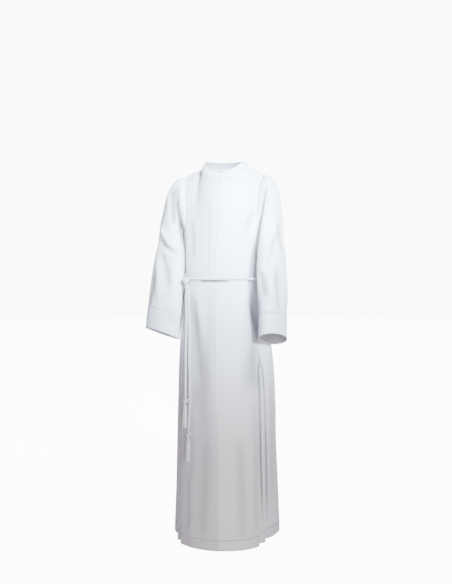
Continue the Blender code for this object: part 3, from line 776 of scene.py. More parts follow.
    def hang(self, places: np.ndarray) -> np.ndarray:
        """Works out the cloth's uneven hang, up to two millimetres, and the relief of a cuff.

        Args:
            places: The points of the fine mesh.

        Returns:
            One move for each point.
        """
        x, y, z = places.T
        if self.group is Group.BODY:
            turn = np.arctan2(x, -y)
            out = np.stack([np.sin(turn), -np.cos(turn), np.zeros_like(turn)], axis=1)
            drop = smooth_step((SKIRT_TOP - z) / 0.5)
            wave = (np.sin(5.0 * turn + 1.3 + 1.9 * z) + 0.7 * np.sin(9.0 * turn - 2.1 - 3.7 * z)
                    + 0.5 * np.sin(14.0 * turn + 0.4 + 6.0 * z))
            chest = np.exp(-(((z + 0.22) / 0.08) ** 2))
            amount = self.skirt_hang * drop + self.chest_hang * chest
            return (wave * amount)[:, None] * out
        middle = self.middle_line(places)
        away = places - middle
        away[:, 2] = 0
        out = away / np.maximum(np.linalg.norm(away, axis=1), 0.001)[:, None]
        turn = np.arctan2(away[:, 0], -away[:, 1])
        wave = (np.sin(2.0 * turn + 11.0 * z + 0.7) + 0.6 * np.sin(3.0 * turn - 19.0 * z)
                + 0.4 * np.sin(5.0 * turn + 31.0 * z + 2.0))
        free = smooth_step((-0.07 - z) / 0.12)
        above = self.above_edge(places)
        turned_up = self.turned_up * smooth_step((self.cuff_line + 0.001 - above) / 0.002)
        puffed = self.puffed * np.exp(-(((above - self.cuff_line - 0.0035) / 0.0024) ** 2))
        sewn = self.sewn_down * np.exp(-(((above - self.cuff_line + 0.0006) / 0.0016) ** 2))
        return (wave * self.sleeve_hang * free + turned_up + puffed - sewn)[:, None] * out

    def build(self, creases: Sequence[Crease], material: bpy.types.Material) -> bpy.types.Object:
        """Args:
            creases: The creases of the panel's group.
            material: The panel's cloth.

        Returns:
            The panel's object.
        """
        mesh = self.fine()
        places = np.empty(len(mesh.vertices) * 3)
        mesh.vertices.foreach_get("co", places)
        places = places.reshape(-1, 3)
        self.map_cloth(mesh, places)
        trees = [node_tree_of(name) for name in self.group.value]
        moved = places + self.hang(places)
        # Painted shade for each point, from the inner side, the pleat edges, the piece's all-over shade
        # and each crease's shade, kept as the painted_shade attribute.
        painted_shade = 1 - (1 - self.inner_shade(mesh, places)) * (1 - self.shade_all_over)
        for crease in creases:
            shift, shade = crease_shift(places, crease, trees)
            moved += shift
            painted_shade = 1 - (1 - painted_shade) * (1 - shade)
        if self.closes_front:
            moved[places[:, 0] > -self.front_edge, 0] += self.closes_front
        mesh.vertices.foreach_set("co", moved.ravel())
        mesh.attributes.new("painted_shade", "FLOAT", "POINT").data.foreach_set("value", painted_shade)
        mesh.update()
        made = add_object(self.node + "_cloth", mesh, material)
        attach(made, "root")
        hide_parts(self.node)
        LOG.info("%s: %d faces", made.name, len(mesh.polygons))
        return made


@dataclass
class Robe:
    """The robe's cloth: panels, sleeves and collar with their creases."""

    finish: FabricFinish = field(default_factory=FabricFinish)
    hem_depth: float = 0.030
    cuff_depth: float = 0.060
    placket_width: float = 0.026
    placket_reach: tuple[float, float] = (-0.322, -0.050)
    waist: float = -0.34

    def body_creases(self) -> tuple[Crease, ...]:
        """Places the creases of the front, back and side panels.

        Returns:
            The creases.
        """
        front, back = Side.FRONT, Side.BACK
        left, right = Side.LEFT, Side.RIGHT
        return (
            # The centre front, painted shade along the collar's seam, and the placket's edge.
            Crease(front, ((0.0, -0.345), (0.0, -0.600), (0.0, -0.850), (0.0, -1.100)), 0.026, 0.0051),
            Crease(front, ((-0.052, -0.032), (-0.026, -0.041), (0.0, -0.0445), (0.026, -0.041),
                          (0.052, -0.032)), 0.006, -0.0008, 0.34),
            Crease(front, ((-0.013, -0.090), (-0.013, -0.200), (-0.013, -0.320)), 0.008, 0.0012),
            # The broad shaded folds at both sides of the skirt.
            Crease(front, ((0.092, -0.350), (0.104, -0.480), (0.110, -0.560), (0.112, -0.680)), 0.030,
                   -0.0050, 0.58),
            Crease(front, ((0.112, -0.640), (0.122, -0.820), (0.128, -1.090)), 0.014, -0.0040, 0.22),
            Crease(front, ((-0.088, -0.350), (-0.074, -0.480), (-0.062, -0.620), (-0.056, -0.740)), 0.022,
                   -0.0050, 0.40),
            Crease(front, ((-0.070, -0.660), (-0.066, -0.860), (-0.064, -1.090)), 0.016, -0.0030, 0.14),
            # The belt's shadow, right under it.
            Crease(front, ((-0.106, -0.3390), (-0.040, -0.3393), (0.020, -0.3393)), 0.0048, -0.0008, 0.98),
            Crease(front, ((-0.020, -0.3393), (0.040, -0.3393), (0.106, -0.3390)), 0.0048, -0.0008, 0.98),
            # Painted shade along the edges of the two left pleats.
            Crease(front, ((0.1165, -0.480), (0.1205, -0.598), (0.1285, -0.857), (0.1340, -1.060)), 0.0036,
                   0.0, 0.88),
            Crease(left, ((-0.044, -0.480), (-0.041, -0.601), (-0.036, -0.866), (-0.032, -1.060)), 0.0036,
                   0.0, 0.88),
            # The shadows beside the sleeves.
            Crease(right, ((-0.040, -0.185), (-0.036, -0.300), (-0.040, -0.400), (-0.044, -0.500)), 0.015,
                   -0.0015, 0.90),
            Crease(left, ((-0.044, -0.120), (-0.046, -0.200), (-0.046, -0.300), (-0.046, -0.420),
                          (-0.040, -0.500)), 0.013, -0.0020, 0.80),
            Crease(front, ((-0.1115, -0.150), (-0.1115, -0.250), (-0.1100, -0.330), (-0.1080, -0.400),
                           (-0.1040, -0.500)), 0.0050, -0.0004, 0.92),
            # The softer folds of the front, from the chest to the hem.
            Crease(front, ((-0.028, -0.110), (-0.028, -0.210), (-0.028, -0.320)), 0.005, -0.0010),
            Crease(front, ((-0.079, -0.420), (-0.060, -0.540), (-0.045, -0.640)), 0.014, -0.0050, 0.12),
            Crease(front, ((0.110, -0.540), (0.092, -0.610), (0.080, -0.680)), 0.018, -0.0050, 0.12),
            Crease(front, ((-0.062, -0.370), (-0.046, -0.440), (-0.032, -0.520)), 0.014, 0.0042),
            Crease(front, ((0.086, -0.350), (0.074, -0.430), (0.062, -0.520)), 0.016, 0.0045),
            Crease(front, ((0.098, -0.125), (0.090, -0.160), (0.078, -0.200)), 0.010, -0.0051),
            Crease(front, ((0.070, -0.130), (0.082, -0.218), (0.088, -0.300)), 0.012, 0.0045),
            Crease(front, ((-0.052, -0.150), (-0.052, -0.230), (-0.048, -0.300)), 0.012, -0.0012),
            Crease(front, ((-0.090, -0.150), (-0.084, -0.200), (-0.078, -0.280)), 0.012, -0.0039),
            Crease(front, ((-0.062, -0.880), (-0.060, -0.980), (-0.056, -1.090)), 0.012, 0.0033),
            Crease(front, ((0.030, -0.700), (0.040, -0.850), (0.046, -1.060)), 0.022, 0.0033),
            Crease(front, ((-0.012, -0.760), (-0.018, -0.900), (-0.022, -1.080)), 0.018, -0.0027),
            Crease(front, ((0.078, -0.760), (0.088, -0.900), (0.094, -1.090)), 0.016, -0.0033),
            # The back.
            Crease(back, ((0.050, -0.100), (0.020, -0.180), (0.030, -0.280)), 0.022, -0.0036, 0.12),
            Crease(back, ((-0.060, -0.110), (-0.040, -0.200), (-0.045, -0.300)), 0.020, 0.0033),
            Crease(back, ((0.000, -0.360), (0.010, -0.520), (0.004, -0.760)), 0.024, -0.0051, 0.14),
            Crease(back, ((0.055, -0.380), (0.068, -0.600), (0.074, -0.900)), 0.022, 0.0045),
            Crease(back, ((-0.050, -0.370), (-0.066, -0.560), (-0.070, -0.800)), 0.022, 0.0042),
            Crease(back, ((-0.030, -0.700), (-0.036, -0.860), (-0.030, -1.070)), 0.020, -0.0039, 0.12),
            # The sides.
            Crease(left, ((0.020, -0.260), (0.010, -0.320), (0.016, -0.400)), 0.014, -0.0033, 0.14),
            Crease(left, ((0.060, -0.420), (0.072, -0.600), (0.080, -0.820)), 0.020, 0.0042),
            Crease(left, ((0.000, -0.560), (0.004, -0.760), (0.000, -1.000)), 0.018, -0.0039, 0.14),
            Crease(right, ((0.024, -0.240), (0.012, -0.310), (0.020, -0.390)), 0.014, -0.0033, 0.14),
            Crease(right, ((0.056, -0.400), (0.060, -0.580), (0.072, -0.800)), 0.020, 0.0039),
            Crease(right, ((-0.006, -0.540), (-0.004, -0.780), (-0.010, -1.020)), 0.018, -0.0042, 0.14),
        )

    def right_sleeve_creases(self) -> tuple[Crease, ...]:
        """Places the creases of the wearer's right sleeve, which bends a little at the elbow.

        Returns:
            The creases.
        """
        front, left, right, back = Side.FRONT, Side.LEFT, Side.RIGHT, Side.BACK
        return (
            # The sleeve's head, and the armhole with painted shade along it.
            Crease(front, ((-0.152, -0.046), (-0.147, -0.090), (-0.142, -0.130), (-0.140, -0.180)), 0.010,
                   -0.0070, 0.82),
            Crease(front, ((-0.164, -0.070), (-0.161, -0.105), (-0.156, -0.150)), 0.009, 0.0034),
            Crease(front, ((-0.134, -0.050), (-0.132, -0.085), (-0.131, -0.120)), 0.005, 0.0030),
            Crease(front, ((-0.136, -0.040), (-0.133, -0.111), (-0.131, -0.132), (-0.128, -0.170),
                           (-0.124, -0.209), (-0.120, -0.260)), 0.0080, -0.0020, 1.0),
            # The shadow on the side towards the body.
            Crease(left, ((-0.052, -0.110), (-0.046, -0.190), (-0.047, -0.250), (-0.048, -0.300),
                          (-0.052, -0.380), (-0.056, -0.460), (-0.058, -0.530)), 0.0130, 0.0, 0.95),
            # The elbow's fold and the long folds below it.
            Crease(front, ((-0.186, -0.221), (-0.165, -0.240), (-0.142, -0.255), (-0.128, -0.267)), 0.010,
                   -0.0066, 0.20),
            Crease(front, ((-0.196, -0.170), (-0.172, -0.208), (-0.148, -0.236), (-0.128, -0.250)), 0.012,
                   0.0062),
            Crease(front, ((-0.187, -0.251), (-0.171, -0.312), (-0.157, -0.366)), 0.014, -0.0056, 0.18),
            Crease(front, ((-0.204, -0.270), (-0.194, -0.340), (-0.184, -0.400)), 0.014, 0.0044),
            Crease(front, ((-0.150, -0.285), (-0.143, -0.340), (-0.140, -0.400)), 0.013, 0.0044),
            # The cuff.
            Crease(front, ((-0.160, -0.440), (-0.143, -0.452), (-0.126, -0.468)), 0.009, -0.0036, 0.34),
            Crease(front, ((-0.170, -0.418), (-0.146, -0.428), (-0.126, -0.438)), 0.006, -0.0022, 0.28),
            # The fullness that lies against the body.
            Crease(left, ((-0.046, -0.200), (-0.052, -0.290), (-0.058, -0.380), (-0.060, -0.470)), 0.036,
                   0.0100),
            # The outer side and the back.
            Crease(right, ((-0.030, -0.170), (-0.020, -0.225), (0.004, -0.270)), 0.013, -0.0068, 0.20),
            Crease(right, ((0.020, -0.200), (0.016, -0.300), (0.006, -0.420)), 0.016, 0.0058),
            Crease(right, ((-0.044, -0.300), (-0.040, -0.380), (-0.036, -0.430)), 0.014, -0.0051),
            Crease(back, ((-0.200, -0.190), (-0.176, -0.240), (-0.150, -0.270)), 0.013, -0.0071, 0.20),
            Crease(back, ((-0.180, -0.280), (-0.178, -0.360), (-0.184, -0.440)), 0.016, 0.0058),
            Crease(back, ((-0.160, -0.090), (-0.152, -0.130), (-0.148, -0.170)), 0.009, -0.0058, 0.20),
        )

    def left_sleeve_creases(self) -> tuple[Crease, ...]:
        """Places the creases of the wearer's left sleeve.

        Returns:
            The creases.
        """
        front, left, back = Side.FRONT, Side.LEFT, Side.BACK
        return (
            # The drag lines of the sleeve's head.
            Crease(front, ((0.154, -0.046), (0.147, -0.088), (0.134, -0.124)), 0.008, -0.0056, 0.24),
            Crease(front, ((0.163, -0.060), (0.157, -0.100), (0.146, -0.145)), 0.009, 0.0040),
            Crease(front, ((0.140, -0.060), (0.132, -0.092), (0.124, -0.130)), 0.006, -0.0034, 0.50),
            # The diagonal fold and the hollow below the elbow.
            Crease(front, ((0.168, -0.205), (0.157, -0.272), (0.140, -0.333)), 0.013, -0.0060, 0.16),
            Crease(front, ((0.168, -0.160), (0.150, -0.235), (0.132, -0.290)), 0.013, 0.0056),
            Crease(front, ((0.122, -0.300), (0.130, -0.335), (0.138, -0.365), (0.142, -0.390)), 0.012,
                   -0.0070, 0.52),
            Crease(front, ((0.162, -0.300), (0.156, -0.350), (0.160, -0.410)), 0.013, 0.0052),
            # The outer and inner edges above the cuff.
            Crease(front, ((0.174, -0.320), (0.180, -0.380), (0.184, -0.425)), 0.011, -0.0050, 0.24),
            Crease(front, ((0.124, -0.380), (0.126, -0.430), (0.130, -0.500)), 0.008, -0.0030, 0.36),
            # The outer side and the back.
            Crease(left, ((-0.030, -0.160), (-0.022, -0.220), (-0.002, -0.260)), 0.013, -0.0065),
            Crease(left, ((0.012, -0.220), (0.006, -0.310), (-0.010, -0.430)), 0.016, 0.0058),
            Crease(left, ((-0.050, -0.290), (-0.056, -0.370), (-0.066, -0.430)), 0.014, -0.0051),
            Crease(back, ((0.170, -0.200), (0.150, -0.250), (0.134, -0.290)), 0.013, -0.0071, 0.20),
            Crease(back, ((0.160, -0.290), (0.156, -0.370), (0.160, -0.450)), 0.016, 0.0058),
            Crease(back, ((0.158, -0.085), (0.150, -0.125), (0.144, -0.165)), 0.009, -0.0058, 0.20),
        )

    def panels(self) -> tuple[ClothPanel, ...]:
        """Lists the cut pieces, each with its flat size.

        Returns:
            The pieces.
        """
        body = Group.BODY
        return (
            # The wearer's right front takes a painted shade all over.
            ClothPanel("front_right", body, (0.22, 1.10), 0.152, "hung", ("collar_cloth",),
                       eased_above=self.waist, shade_all_over=0.18, closes_front=0.0004),
            ClothPanel("front_left", body, (0.22, 1.10), 0.152, "hung", ("collar_cloth",),
                       eased_above=self.waist),
            ClothPanel("back", body, (0.40, 1.12), 0.296, "hung", ("collar_cloth",),
                       eased_above=self.waist),
            ClothPanel("side_right", body, (0.42, 0.93), 0.278, "hung", ("front_right_cloth",)),
            ClothPanel("side_left", body, (0.42, 0.93), 0.276, "hung", ("front_left_cloth",)),
            ClothPanel("collar", body, (0.43, 0.032), 0.0108, "folded", ("back_cloth",)),
            ClothPanel("sleeve_right", Group.SLEEVE_RIGHT, (0.34, 0.53), 0.145, "hung",
                       ("side_right_cloth",), cuff_line=self.cuff_depth),
            ClothPanel("sleeve_left", Group.SLEEVE_LEFT, (0.32, 0.53), 0.134, "hung",
                       ("side_left_cloth",), cuff_line=self.cuff_depth),
        )

    def build(self) -> None:
        """Builds every panel with its creases and its cloth."""
        shader = FabricShader(self.finish)
        hem = ("v", self.hem_depth, -1.0, 1.0)
        cuff = ("v", self.cuff_depth, -1.0, 1.0)
        placket = ("x", -self.placket_width, *self.placket_reach)
        materials = {
            "hemmed": shader.material(self.finish.name, (hem,)),
            "placket": shader.material(f"{self.finish.name}_placket", (hem, placket)),
            "cuffed": shader.material(f"{self.finish.name}_cuff", (cuff,)),
            "collar": shader.material(f"{self.finish.name}_collar", ()),
        }
        cloths = {"front_right": "placket", "collar": "collar", "sleeve_right": "cuffed",
                  "sleeve_left": "cuffed"}
        creases = {
            Group.BODY: self.body_creases(),
            Group.SLEEVE_RIGHT: self.right_sleeve_creases(),
            Group.SLEEVE_LEFT: self.left_sleeve_creases(),
        }
        for panel in self.panels():
            panel.build(creases[panel.group], materials[cloths.get(panel.node, "hemmed")])


def smooth_route(points: Sequence[Point], spacing: float) -> list[Vector]:
    """Evenly spaced points on a smooth line through the given ones.

    Args:
        points: The route's points.
        spacing: The wanted distance between points.

    Returns:
        The points, both ends included.
    """
    known = [Vector(p) for p in points]
    known = [2 * known[0] - known[1]] + known + [2 * known[-1] - known[-2]]
    fine: list[Vector] = []
    for a, b, c, d in zip(known, known[1:], known[2:], known[3:]):
        for step in range(ROUTE_STEPS):
            t = step / ROUTE_STEPS
            fine.append(0.5 * (2 * b + (c - a) * t + (2 * a - 5 * b + 4 * c - d) * t**2
                               + (3 * b - a - 3 * c + d) * t**3))
    fine.append(known[-2])
    return spaced(fine, spacing)


def spaced(line: Sequence[Vector], spacing: float) -> list[Vector]:
    """Lays points along a line a given distance apart.

    Args:
        line: The line's points.
        spacing: The wanted distance.

    Returns:
        The new points, both ends included.
    """
    steps = [(b - a).length for a, b in zip(line, line[1:])]
    along = np.concatenate([[0.0], np.cumsum(steps)])
    wanted = np.linspace(0, along[-1], max(2, int(along[-1] / spacing)))
    axes = [np.interp(wanted, along, [p[axis] for p in line]) for axis in range(3)]
    return [Vector(p) for p in zip(*axes)]


@dataclass
class TwistedRope:
    """A rope of three strands, laid round each other."""

    radius: float = 0.0033
    lay: float = 0.040
    strand_share: float = 0.56
    sides: int = 24
    spacing: float = 0.0018

    def section(self) -> bpy.types.Object:
        """Draws the rope's outline across: three round strands pressed together.

        Returns:
            The outline as a curve object.
        """
        data = bpy.data.curves.new("strand_section", "CURVE")
        data.dimensions = "2D"
        spline = data.splines.new("POLY")
        spline.points.add(self.sides - 1)
        strand = self.radius * self.strand_share
        offset = self.radius - strand
        for index, point in enumerate(spline.points):
            angle = 2 * pi * index / self.sides
            nearest = (angle + pi / 3) % (2 * pi / 3) - pi / 3
            reach = offset * cos(nearest) + sqrt(max(0.0, strand**2 - (offset * sin(nearest)) ** 2))
            point.co = (reach * cos(angle), reach * sin(angle), 0.0, 1.0)
        spline.use_cyclic_u = True
        made = bpy.data.objects.new("strand_section", data)
        bpy.context.scene.collection.objects.link(made)
        return made

    def sweep(self, name: str, route: Sequence[Vector], material: bpy.types.Material) -> bpy.types.Object:
        """Lays the rope along a route.

        Args:
            name: The piece's name.
            route: Closely spaced points.
            material: The rope's material.

        Returns:
            The rope's object, a mesh with its crown attribute.
        """
        section = self.section()
        data = bpy.data.curves.new(name, "CURVE")
        data.dimensions = "3D"
        data.bevel_mode = "OBJECT"
        data.bevel_object = section
        data.use_fill_caps = True
        data.twist_mode = "MINIMUM"
        spline = data.splines.new("POLY")
        spline.points.add(len(route) - 1)
        along = 0.0
        for index, (point, place) in enumerate(zip(spline.points, route)):
            if index:
                along += (place - route[index - 1]).length
            point.co = (*place, 1.0)
            point.tilt = 2 * pi * along / self.lay
        curve = bpy.data.objects.new(name, data)
        bpy.context.scene.collection.objects.link(curve)
        mesh = evaluated_mesh(curve)
        bpy.data.objects.remove(section, do_unlink=True)
        self.mark_crowns(mesh, route)
        return add_object(name, mesh, material)

    def mark_crowns(self, mesh: bpy.types.Mesh, route: Sequence[Vector]) -> None:
        """Stores how far each point stands out from the rope's middle, 1 on a strand's crown.

        Args:
            mesh: The rope's mesh.
            route: The rope's middle line.
        """
        places = np.empty(len(mesh.vertices) * 3)
        mesh.vertices.foreach_get("co", places)
        places = places.reshape(-1, 3)
        line = np.array(route)
        far = np.empty(len(places))
        for part in np.array_split(np.arange(len(places)), len(places) // 2000 + 1):
            gaps = np.linalg.norm(places[part][:, None, :] - line[None, :, :], axis=2)
            far[part] = gaps.min(axis=1)
        crown = mesh.attributes.new("crown", "FLOAT", "POINT")
        crown.data.foreach_set("value", np.clip(far / self.radius, 0.0, 1.1))


@dataclass
class Cincture:
    """The rope belt: a turn round the waist, its knot, two hanging ends and their tassels."""

    finish: RopeFinish = field(default_factory=RopeFinish)
    rope: TwistedRope = field(default_factory=TwistedRope)
    knot_rope: float = 0.0033
    end_knot_rope: float = 0.0032
    knot_turns: float = 3.0
    end_knot_turns: float = 2.0
    knot_lean: float = 0.14
    knot_start: float = radians(110)
    turn_steps: int = 36
    waist_steps: int = 720
    strands: int = 70
    strand_radius: float = 0.00055
    skirt_radius: float = 0.0056
    binding_radius: float = 0.0052
    binding_drop: float = 0.0095
    binding_pitch: float = 0.0009
    tassel_lean: float = 0.085
    neck_pull: float = 0.26
    neck_at: float = 0.17
    neck_reach: float = 0.06
    uneven_ends: float = 0.0045
    sway: float = 0.0007
    length_a: float = 0.336
    length_b: float = 0.434
    length_loop: float = 0.66
    routes: dict[str, tuple[Point, ...]] = field(default_factory=lambda: {
        "a": ((-0.1000, -0.0809, -0.3477), (-0.0997, -0.0812, -0.3530), (-0.0955, -0.0865, -0.3700),
              (-0.0945, -0.0915, -0.4000), (-0.0930, -0.0950, -0.4400), (-0.0910, -0.1045, -0.4900),
              (-0.0882, -0.1175, -0.5500), (-0.0845, -0.1310, -0.6200), (-0.0810, -0.1420, -0.6640),
              (-0.0807, -0.1445, -0.6760)),
        "b": ((-0.0950, -0.0861, -0.3477), (-0.0945, -0.0866, -0.3530), (-0.0870, -0.0925, -0.3700),
              (-0.0855, -0.0965, -0.4000), (-0.0830, -0.1000, -0.4400), (-0.0800, -0.1080, -0.4900),
              (-0.0765, -0.1200, -0.5500), (-0.0720, -0.1325, -0.6200), (-0.0680, -0.1450, -0.6900),
              (-0.0668, -0.1510, -0.7300), (-0.0667, -0.1575, -0.7600), (-0.0667, -0.1590, -0.7700)),
    })

    def dress(self, piece: bpy.types.Object, node: str) -> None:
        """Lets a piece stand for its CAD node.

        Args:
            piece: The piece.
            node: The node it replaces.
        """
        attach(piece, "root")
        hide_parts(node)
        LOG.info("%s: %d faces", piece.name, len(piece.data.polygons))

    def wrapped(self, name: str, node: str, turns: float, material: bpy.types.Material,
                thickness: float) -> bpy.types.Object:
        """Makes a knot as rope wound round itself in the node's box.

        Args:
            name: The piece's name.
            node: The knot's CAD node.
            turns: How many turns show.
            material: The rope's material.
            thickness: The rope's radius in the knot.

        Returns:
            The knot's object.
        """
        low, high = (Vector(corner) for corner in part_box(node))
        middle = (low + high) / 2
        reach = (high.x - low.x) / 2 - thickness
        climb = (high.z - low.z) - 2 * thickness
        steps = int(self.turn_steps * turns)
        line = []
        for step in range(steps + 1):
            share = step / steps
            angle = 2 * pi * turns * share - self.knot_start
            lean = self.knot_lean * reach * sin(angle)
            tuck = 1 - 0.55 * max(0.0, 1 - 9 * min(share, 1 - share))
            line.append(middle + Vector((reach * tuck * cos(angle), reach * tuck * sin(angle),
                                         (0.5 - share) * climb + lean)))
        rope = TwistedRope(radius=thickness, lay=thickness * 7.2, spacing=self.rope.spacing)
        piece = rope.sweep(name, spaced(line, rope.spacing), material)
        self.dress(piece, node)
        return piece

    def tassel(self, label: str, material: bpy.types.Material) -> bpy.types.Object:
        """Makes a tassel: a bound head with a skirt of fine yarn.

        Args:
            label: The end it hangs on.
            material: The yarn's material.

        Returns:
            The tassel's object.
        """
        node = f"tassel_{label}"
        low, high = (Vector(corner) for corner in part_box(node))
        top = Vector((low.x + high.x, 0, 0)) / 2
        top.z = high.z
        length = high.z - low.z
        top.y = high.y - (high.x - low.x) / 2 * 0.82
        data = bpy.data.curves.new(f"yarn_{label}", "CURVE")
        data.dimensions = "3D"
        data.bevel_depth = self.strand_radius
        data.bevel_resolution = 1
        data.use_fill_caps = True
        for number in range(self.strands):
            angle = 2 * pi * number * GOLDEN_TURN
            ring = self.skirt_radius * sqrt((number + 0.5) / self.strands)
            reach = length - 0.0006 - self.uneven_ends * (number * 0.37 % 1)
            spline = data.splines.new("POLY")
            spline.points.add(7)
            for index, point in enumerate(spline.points):
                share = index / 7
                neck = 1 - self.neck_pull * np.exp(-(((share - self.neck_at) / self.neck_reach) ** 2))
                wide = ring * neck * (0.98 + 0.14 * share) * min(1.0, 0.35 + 8 * share)
                sway = self.sway * sin(5.0 * share + number) * share
                drop = reach * share
                point.co = (top.x + wide * cos(angle) + sway,
                            top.y + wide * sin(angle) - self.tassel_lean * drop + 0.5 * sway,
                            top.z - drop, 1.0)
        yarn = bpy.data.objects.new(f"yarn_{label}", data)
        bpy.context.scene.collection.objects.link(yarn)
        mesh = evaluated_mesh(yarn)
        bound_at = Vector((top.x, top.y - self.tassel_lean * 0.011, top.z - self.binding_drop))
        binding = [bound_at + Vector((self.binding_radius * cos(turn), self.binding_radius * sin(turn),
                                      -self.binding_pitch * turn / (2 * pi)))
                   for turn in np.linspace(0, 8 * pi, 120)]
        band = TwistedRope(radius=0.0006, lay=0.004, sides=9).sweep(f"binding_{label}", binding, material)
        bm = bmesh.new()
        bm.from_mesh(mesh)
        bm.from_mesh(band.data)
        bm.to_mesh(mesh)
        bm.free()
        bpy.data.objects.remove(band, do_unlink=True)
        crown = mesh.attributes.get("crown") or mesh.attributes.new("crown", "FLOAT", "POINT")
        crown.data.foreach_set("value", np.full(len(mesh.vertices), 0.9))
        piece = add_object(f"{node}_yarn", mesh, material)
        self.dress(piece, node)
        return piece

    def waist_line(self) -> list[Vector]:
        """Reads the belt's middle line off its CAD node and runs it into the knot at both ends.

        Returns:
            The line's points.
        """
        tree = node_tree_of("cincture_loop")
        low, high = (Vector(corner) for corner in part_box("cincture_loop"))
        middle = (low + high) / 2
        knot_low, knot_high = (Vector(corner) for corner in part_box("cincture_knot"))
        knot = (knot_low + knot_high) / 2
        start = atan2(knot.y - middle.y, knot.x - middle.x)
        line = []
        for step in range(self.waist_steps + 1):
            angle = start + 2 * pi * step / self.waist_steps
            way = Vector((cos(angle), sin(angle), 0))
            hit, normal, _, _ = tree.ray_cast(middle, way)
            if hit:
                flat = Vector((normal.x, normal.y, 0)).normalized()
                line.append(Vector((hit.x, hit.y, middle.z)) - flat * self.rope.radius)
        return spaced(line, self.rope.spacing)

    def build(self) -> None:
        """Builds the belt: its turn round the waist, its knot, and both hanging ends with their knots and
        tassels.
        """
        material = rope_material(self.finish)
        waist = self.waist_line()
        loop = self.rope.sweep("cincture_loop_rope", waist, material)
        self.dress(loop, "cincture_loop")
        self.wrapped("cincture_knot_rope", "cincture_knot", self.knot_turns, material, self.knot_rope)
        for label, route in self.routes.items():
            line = smooth_route(route, self.rope.spacing)
            piece = self.rope.sweep(f"cincture_end_{label}_rope", line, material)
            self.dress(piece, f"cincture_end_{label}")
            knot = self.wrapped(f"end_knot_{label}_rope", f"end_knot_{label}", self.end_knot_turns,
                                material, self.end_knot_rope)
            tassel = self.tassel(label, material)


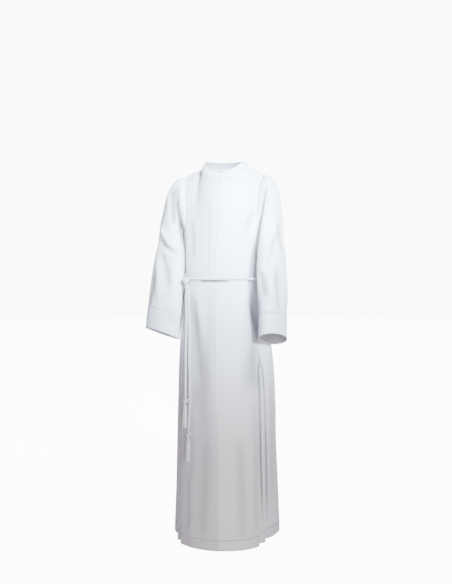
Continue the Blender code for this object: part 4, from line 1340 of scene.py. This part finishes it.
@dataclass
class Studio:
    """The plain pale studio: floor, soft lights, and the camera at the photograph's angle."""

    axis_height: float = -0.333
    distance: float = 2.457
    azimuth: float = 15.0
    floor_z: float = -1.112
    lens: float = 50.0
    sensor: float = 36.0
    shift: tuple[float, float] = (0.0012, -13 / PHOTO_HEIGHT)
    room_colour: Point = (1.0, 0.80, 0.86)
    room_strength: float = 0.36
    backdrop_strength: float = 13.0
    floor_glow: float = 12.0
    floor_radius: float = 14.0
    floor_colour: Point = (0.93, 0.93, 0.93)
    spot_softness: float = 0.30
    cool: Point = (0.70, 0.86, 1.0)
    warm: Point = (1.0, 0.93, 0.96)

    def camera(self) -> None:
        """Makes the camera."""
        data = bpy.data.cameras.new("photo_camera")
        data.lens = self.lens
        data.sensor_width = self.sensor
        data.shift_x, data.shift_y = self.shift
        made = bpy.data.objects.new("photo_camera", data)
        turn = radians(self.azimuth)
        made.location = (self.distance * sin(turn), -self.distance * cos(turn), self.axis_height)
        made.rotation_euler = (pi / 2, 0.0, turn)
        bpy.context.scene.collection.objects.link(made)
        bpy.context.scene.camera = made

    @staticmethod
    def point_at(data: bpy.types.Light, place: Point, aim: Point) -> None:
        """Puts a light in the scene, turned to the point it looks at.

        Args:
            data: The light.
            place: Where it stands.
            aim: The point it looks at.
        """
        made = bpy.data.objects.new(data.name, data)
        made.location = place
        made.rotation_euler = (Vector(aim) - Vector(place)).to_track_quat("-Z", "Y").to_euler()
        bpy.context.scene.collection.objects.link(made)

    def light(self, name: str, place: Point, aim: Point, size: float, power: float,
              colour: Point) -> None:
        """Makes one soft square light.

        Args:
            name: The light's name.
            place: Where it stands.
            aim: The point it looks at.
            size: Its side in metres.
            power: Its power in watts.
            colour: Its colour.
        """
        data = bpy.data.lights.new(name, "AREA")
        data.size = size
        data.energy = power
        data.color = colour
        self.point_at(data, place, aim)

    def spot(self, name: str, place: Point, aim: Point, angle: float, blend: float, power: float,
             colour: Point) -> None:
        """Makes one spotlight with a soft edge.

        Args:
            name: The light's name.
            place: Where it stands.
            aim: The point it looks at.
            angle: The whole angle of its beam in degrees.
            blend: The share of the beam over which it fades.
            power: Its power in watts.
            colour: Its colour.
        """
        data = bpy.data.lights.new(name, "SPOT")
        data.spot_size = radians(angle)
        data.spot_blend = blend
        data.shadow_soft_size = self.spot_softness
        data.energy = power
        data.color = colour
        self.point_at(data, place, aim)

    def floor(self) -> None:
        """Makes the pale floor."""
        bm = bmesh.new()
        bmesh.ops.create_circle(bm, cap_ends=True, segments=96, radius=self.floor_radius)
        bmesh.ops.translate(bm, verts=bm.verts, vec=(0, 0, self.floor_z))
        mesh = bpy.data.meshes.new("floor")
        bm.to_mesh(mesh)
        bm.free()
        surface = bpy.data.materials.new("studio_floor")
        surface.use_nodes = True
        shader = surface.node_tree.nodes["Principled BSDF"]
        shader.inputs["Base Color"].default_value = (*self.floor_colour, 1.0)
        shader.inputs["Roughness"].default_value = 0.9
        build = NodeBuilder(surface.node_tree)
        seen = build.node("ShaderNodeLightPath").outputs["Is Camera Ray"]
        shader.inputs["Emission Color"].default_value = (1.0, 1.0, 1.0, 1.0)
        build.join(build.maths("MULTIPLY", seen, self.floor_glow), shader.inputs["Emission Strength"])
        add_object("floor", mesh, surface)

    def build(self) -> None:
        """Makes the whole studio."""
        self.camera()
        self.floor()
        world = bpy.data.worlds.new("studio_world")
        world.use_nodes = True
        build = NodeBuilder(world.node_tree)
        room = world.node_tree.nodes["Background"]
        room.inputs["Color"].default_value = (*self.room_colour, 1.0)
        room.inputs["Strength"].default_value = self.room_strength
        backdrop = build.node("ShaderNodeBackground")
        backdrop.inputs["Strength"].default_value = self.backdrop_strength
        seen = build.node("ShaderNodeLightPath").outputs["Is Camera Ray"]
        chosen = build.node("ShaderNodeMixShader")
        build.join(seen, chosen.inputs[0])
        build.join(room.outputs[0], chosen.inputs[1])
        build.join(backdrop.outputs[0], chosen.inputs[2])
        build.join(chosen.outputs[0], world.node_tree.nodes["World Output"].inputs["Surface"])
        bpy.context.scene.world = world
        self.spot("key", (1.5, -1.95, 0.60), (0.02, 0.0, -0.15), 21.5, 0.8, 2300, self.cool)
        self.spot("chest", (1.1, -1.7, 0.6), (0.05, -0.05, 0.01), 11.5, 0.6, 2200, self.cool)
        self.spot("side", (-1.6, -2.2, 0.2), (-0.20, 0.0, -0.29), 6.8, 0.8, 1700, self.cool)
        self.light("skirt", (1.3, -2.3, -0.3), (0.0, 0.0, -0.6), 1.0, 58, self.warm)
        self.light("back", (-0.7, 2.2, 2.1), (0.0, 0.1, -0.5), 1.2, 90, self.cool)


def main() -> None:
    """Builds the studio, the belt and the robe in order."""
    logging.basicConfig(level=logging.INFO, format="%(name)s: %(message)s")
    Studio().build()
    Cincture().build()
    Robe().build()


if __name__ == "__main__":
    main()
